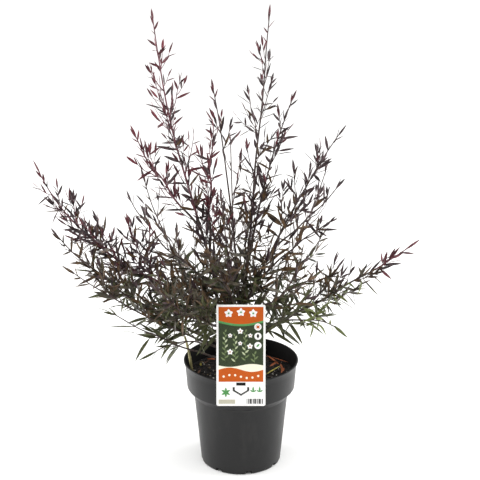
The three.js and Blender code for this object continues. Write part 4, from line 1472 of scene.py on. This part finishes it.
def leafShape(leaves):
    # a ring of margin, upper midrib, margin and lower midrib, carried along the bent middle of the blade;
    # half the width goes as sin(pi s^0.85)^0.9, which is pointed at both ends and broadest below the middle
    share = np.array(blade["rows"])[None, :, None]
    half = np.sin(math.pi * share ** 0.85) ** 0.9 * leaves["width"][:, None, None] / 2
    heading, wide = leaves["heading"][:, None], leaves["wide"][:, None]
    deep = np.cross(heading, wide)
    length = leaves["length"][:, None, None]
    bend = leaves["bend"][:, None, None]

    def middle(share):
        return leaves["root"][:, None] + length * (heading * share + deep * bend * share ** 2)

    centre = middle(share)
    rings = np.stack([
        centre + wide * half + deep * half * blade["fold"],
        centre + deep * blade["ridge"],
        centre - wide * half + deep * half * blade["fold"],
        centre - deep * blade["keel"],
    ], axis=2)
    return closedRings(rings, leaves["root"], middle(np.ones((1, 1, 1)))[:, 0])


# Leaf colours in order of age, from the youngest: the highest tone that each takes, its slot and two tones.
leafKinds = {
    "scarlet": (-0.02, "leaf_red", "#5a1f29", "#7f3d47"),
    "plum": (0.29, "leaf_red", "#3d151d", "#6b383f"),
    "dusk": (0.55, "leaf_dark", "#1b1112", "#534144"),
    "bronze": (0.76, "leaf_dark", "#24180e", "#60492f"),
    "moss": (0.88, "leaf_dark", "#1f1b14", "#5a5343"),
    "olive": (9.0, "leaf_green", "#1d200c", "#565938"),
}
lime = {         # sprays of new leaves: the limb, from and to which x, the steepest heading and the share
    "sprays": (("right_foot", 88, 200, 1.0, 0.85), ("right_low", 118, 170, 0.1, 0.4)),
    "curl": 0.8,
    "size": 0.62,
    "tones": ("#454c28", "#6c7440"),
}

# What moves a leaf's tone, and how far. Heights and distances are in mm.
toneRule = {
    "high": (200, 450, 0.26),        # redder: from this height, over this range
    "low": (300, 90, 0.22),          # greener: below this height, over this range
    "inside": (270, 110, 0.26),      # greener: height of the crown's core, and how far from it
    "even": (5, 290, 60, 0.75),      # less varied: right of this x, above this height, over this range
    "spray": 0.32,
    "luck": 0.18,
    "age": 0.2,
    "tender": 0.38,
}


def toneOf(leaves):
    # the limb's own tone, redder high up and greener low down and inside, and dealt out by spray
    rise = leaves["root"][:, 2]
    highFrom, highOver, redder = toneRule["high"]
    lowFrom, lowOver, greener = toneRule["low"]
    core, reach, inner = toneRule["inside"]
    rightOf, above, over, calmer = toneRule["even"]
    height = np.clip((rise - highFrom) / highOver, 0, 1)
    low = np.clip((lowFrom - rise) / lowOver, 0, 1)
    inside = np.exp(-np.linalg.norm(leaves["root"] - [0, 0, core], axis=1) / reach)
    even = np.clip((leaves["root"][:, 0] - rightOf) / over, 0, 1) * np.clip((rise - above) / over, 0, 1)
    spray = chance(leaves["spray"], 900) - 0.5
    tender = toneRule["tender"] * leaves["tender"] * leaves["luck"] * np.maximum(0.9 - leaves["tone"], 0)
    varied = toneRule["spray"] * spray + toneRule["luck"] * (leaves["luck"] - 0.5) \
        + toneRule["age"] * (leaves["age"] - 0.5)
    return leaves["tone"] + varied * (1 - calmer * even) + inner * inside \
        + greener * low - redder * (height - 0.35) - tender


def leafSkin(kind, dark, light):
    # Small leathery leaves: a thin wax gives them a soft grey gleam over a dark blade.
    return mottled(f"{kind} leaf", {
        "dark": dark, "light": light, "grain": 14, "rough": (0.4, 0.55), "relief": 0.1, "ior": 1.38,
    })


allLeaves = stacked([leavesOn(kind, lines) for kind, lines in orders.items()])
across = allLeaves["root"][:, 0]
stillRed = (allLeaves["limb"] == freshLimb) & (across > freshTip["fromAcross"])
tone = toneOf(allLeaves) - freshTip["redder"] * stillRed
young = np.zeros(len(tone), bool)
for limb, start, end, steepest, share in lime["sprays"]:
    young |= (allLeaves["limb"] == limbNames.index(limb)) & (across > start) & (across < end) \
        & (allLeaves["heading"][:, 2] < steepest) & (allLeaves["luck"] < share)
lowest = -9.0
for kind, (highest, slot, dark, light) in leafKinds.items():
    chosen = pick(allLeaves, (tone >= lowest) & (tone < highest) & ~young)
    lowest = highest
    nodes = [massNames[limb] for limb in np.unique(chosen["limb"])]
    addPiece(f"leaves_{kind}", leafShape(chosen), leafSkin(kind, dark, light), nodes, sharpDeg=20)
limeLeaves = pick(allLeaves, young)
limeLeaves["bend"] = limeLeaves["bend"] + lime["curl"] * np.sign(limeLeaves["bend"])
limeLeaves["length"] = limeLeaves["length"] * lime["size"]
addPiece("leaves_lime", leafShape(limeLeaves), leafSkin("lime", *lime["tones"]), sharpDeg=20)
print(f"foliage: {len(tone)} leaves")


# The bare pale shoot at the pot's left edge

paleShoot = {
    "foot": (-70, -13, mix["top"] - mix["roughness"] + mix["seatGap"]),
    "straight": 12,
    "middle": (-73, -13, 172),
    "tip": (-80, -11, 196),
    "radius": 2.2,
    "tipRadius": 1.6,
    "joints": (0.3, 0.56, 0.8),      # where old leaves stood, as shares of its length
    "swelling": (0.28, 0.016),       # how much it swells at a joint, and over what share of its length
    "ribs": (5, 0.05),
    "rings": (60, 12),
}


def paleShootShape():
    foot = np.array(paleShoot["foot"])
    knee = foot + [0, 0, paleShoot["straight"]]
    curve = np.array([foot, knee, paleShoot["middle"], paleShoot["tip"]], float)
    rows, sides = paleShoot["rings"]
    share = np.linspace(0, 1, rows)[:, None]
    swell, spread = paleShoot["swelling"]
    swelling = sum(swell * np.exp(-((share - place) / spread) ** 2) for place in paleShoot["joints"])
    count, deep = paleShoot["ribs"]
    ribs = deep * np.sin(count * 2 * math.pi * np.arange(sides) / sides + 3 * share)
    relief = (1 + swelling + ribs)[None]
    return tubesAlong(plainLine(curve), paleShoot["radius"], paleShoot["tipRadius"], rows, sides, relief)


# Dry green-tan stem: smooth and faintly ribbed, with a dull skin.
drySkin = mottled("dry green tan stem", {
    "dark": "#6a6440", "light": "#a09767", "grain": 6, "rough": (0.5, 0.7), "relief": 0.25,
    "stretch": (1, 1, 0.4),
})
addPiece("pale_shoot_stem", paleShootShape(), drySkin, ["pale_shoot"], sharpDeg=60)


# Fallen leaves on the mix

litter = {      # two tones, and for each leaf its foot (x, y), the way it points in degrees and its length
    "rust": ("#8a4526", "#bd6a3d", [
        (38, 60, -60, 44), (47, 54, -48, 34), (58, 30, -86, 32), (63, 14, -103, 26),
        (52, 36, -122, 20), (-50, 48, -8, 20), (-30, 58, 12, 15), (18, 64, -14, 17),
    ]),
    "umber": ("#452c1d", "#74503a", [
        (40, 44, -32, 24), (-54, 28, 62, 15), (25, 60, -22, 18), (-20, -60, 12, 18),
        (48, -32, 70, 20), (-44, -30, 130, 16), (10, -52, -30, 15), (-62, -6, 75, 14),
    ]),
    "straw": ("#95883b", "#c8bd5e", [(36, -8, 46, 32), (-58, 20, 96, 13), (60, 2, 100, 15)]),
}
litterLift = 2.2             # the fallen leaves lie on the chips


def litterShape(places, seed):
    # the living leaf's blade, laid nearly level and curled
    x, y, turn, length = np.array(places, float).T
    step = np.arange(len(x))
    turn = np.radians(turn)
    rise = 0.12 * (chance(seed, step) - 0.2)
    heading = unit(np.stack([np.cos(turn), np.sin(turn), rise], axis=-1))
    roll = 0.9 * (chance(seed, 50 + step) - 0.5)
    level = np.stack([-np.sin(turn), np.cos(turn), 0 * turn], axis=-1)
    wide = unit(level * np.cos(roll)[:, None] + np.cross(heading, level) * np.sin(roll)[:, None])
    return leafShape({
        "root": np.stack([x, y, mixHeight(x, y) + litterLift], axis=-1), "heading": heading, "wide": wide,
        "length": length, "width": 2.2 + 0.055 * length, "bend": -0.1 + 0.16 * chance(seed, 90 + step),
    })


for index, (name, (dark, light, places)) in enumerate(litter.items()):
    # Dry fallen leaf: papery and dull, its colour gone to tan.
    dryLeaf = mottled(f"{name} fallen leaf", {
        "dark": dark, "light": light, "grain": 5, "rough": (0.6, 0.8), "relief": 0.3,
    })
    addPiece(f"fallen_{name}", litterShape(places, 31 + index), dryLeaf, sharpDeg=25)
print("pale shoot and fallen leaves")
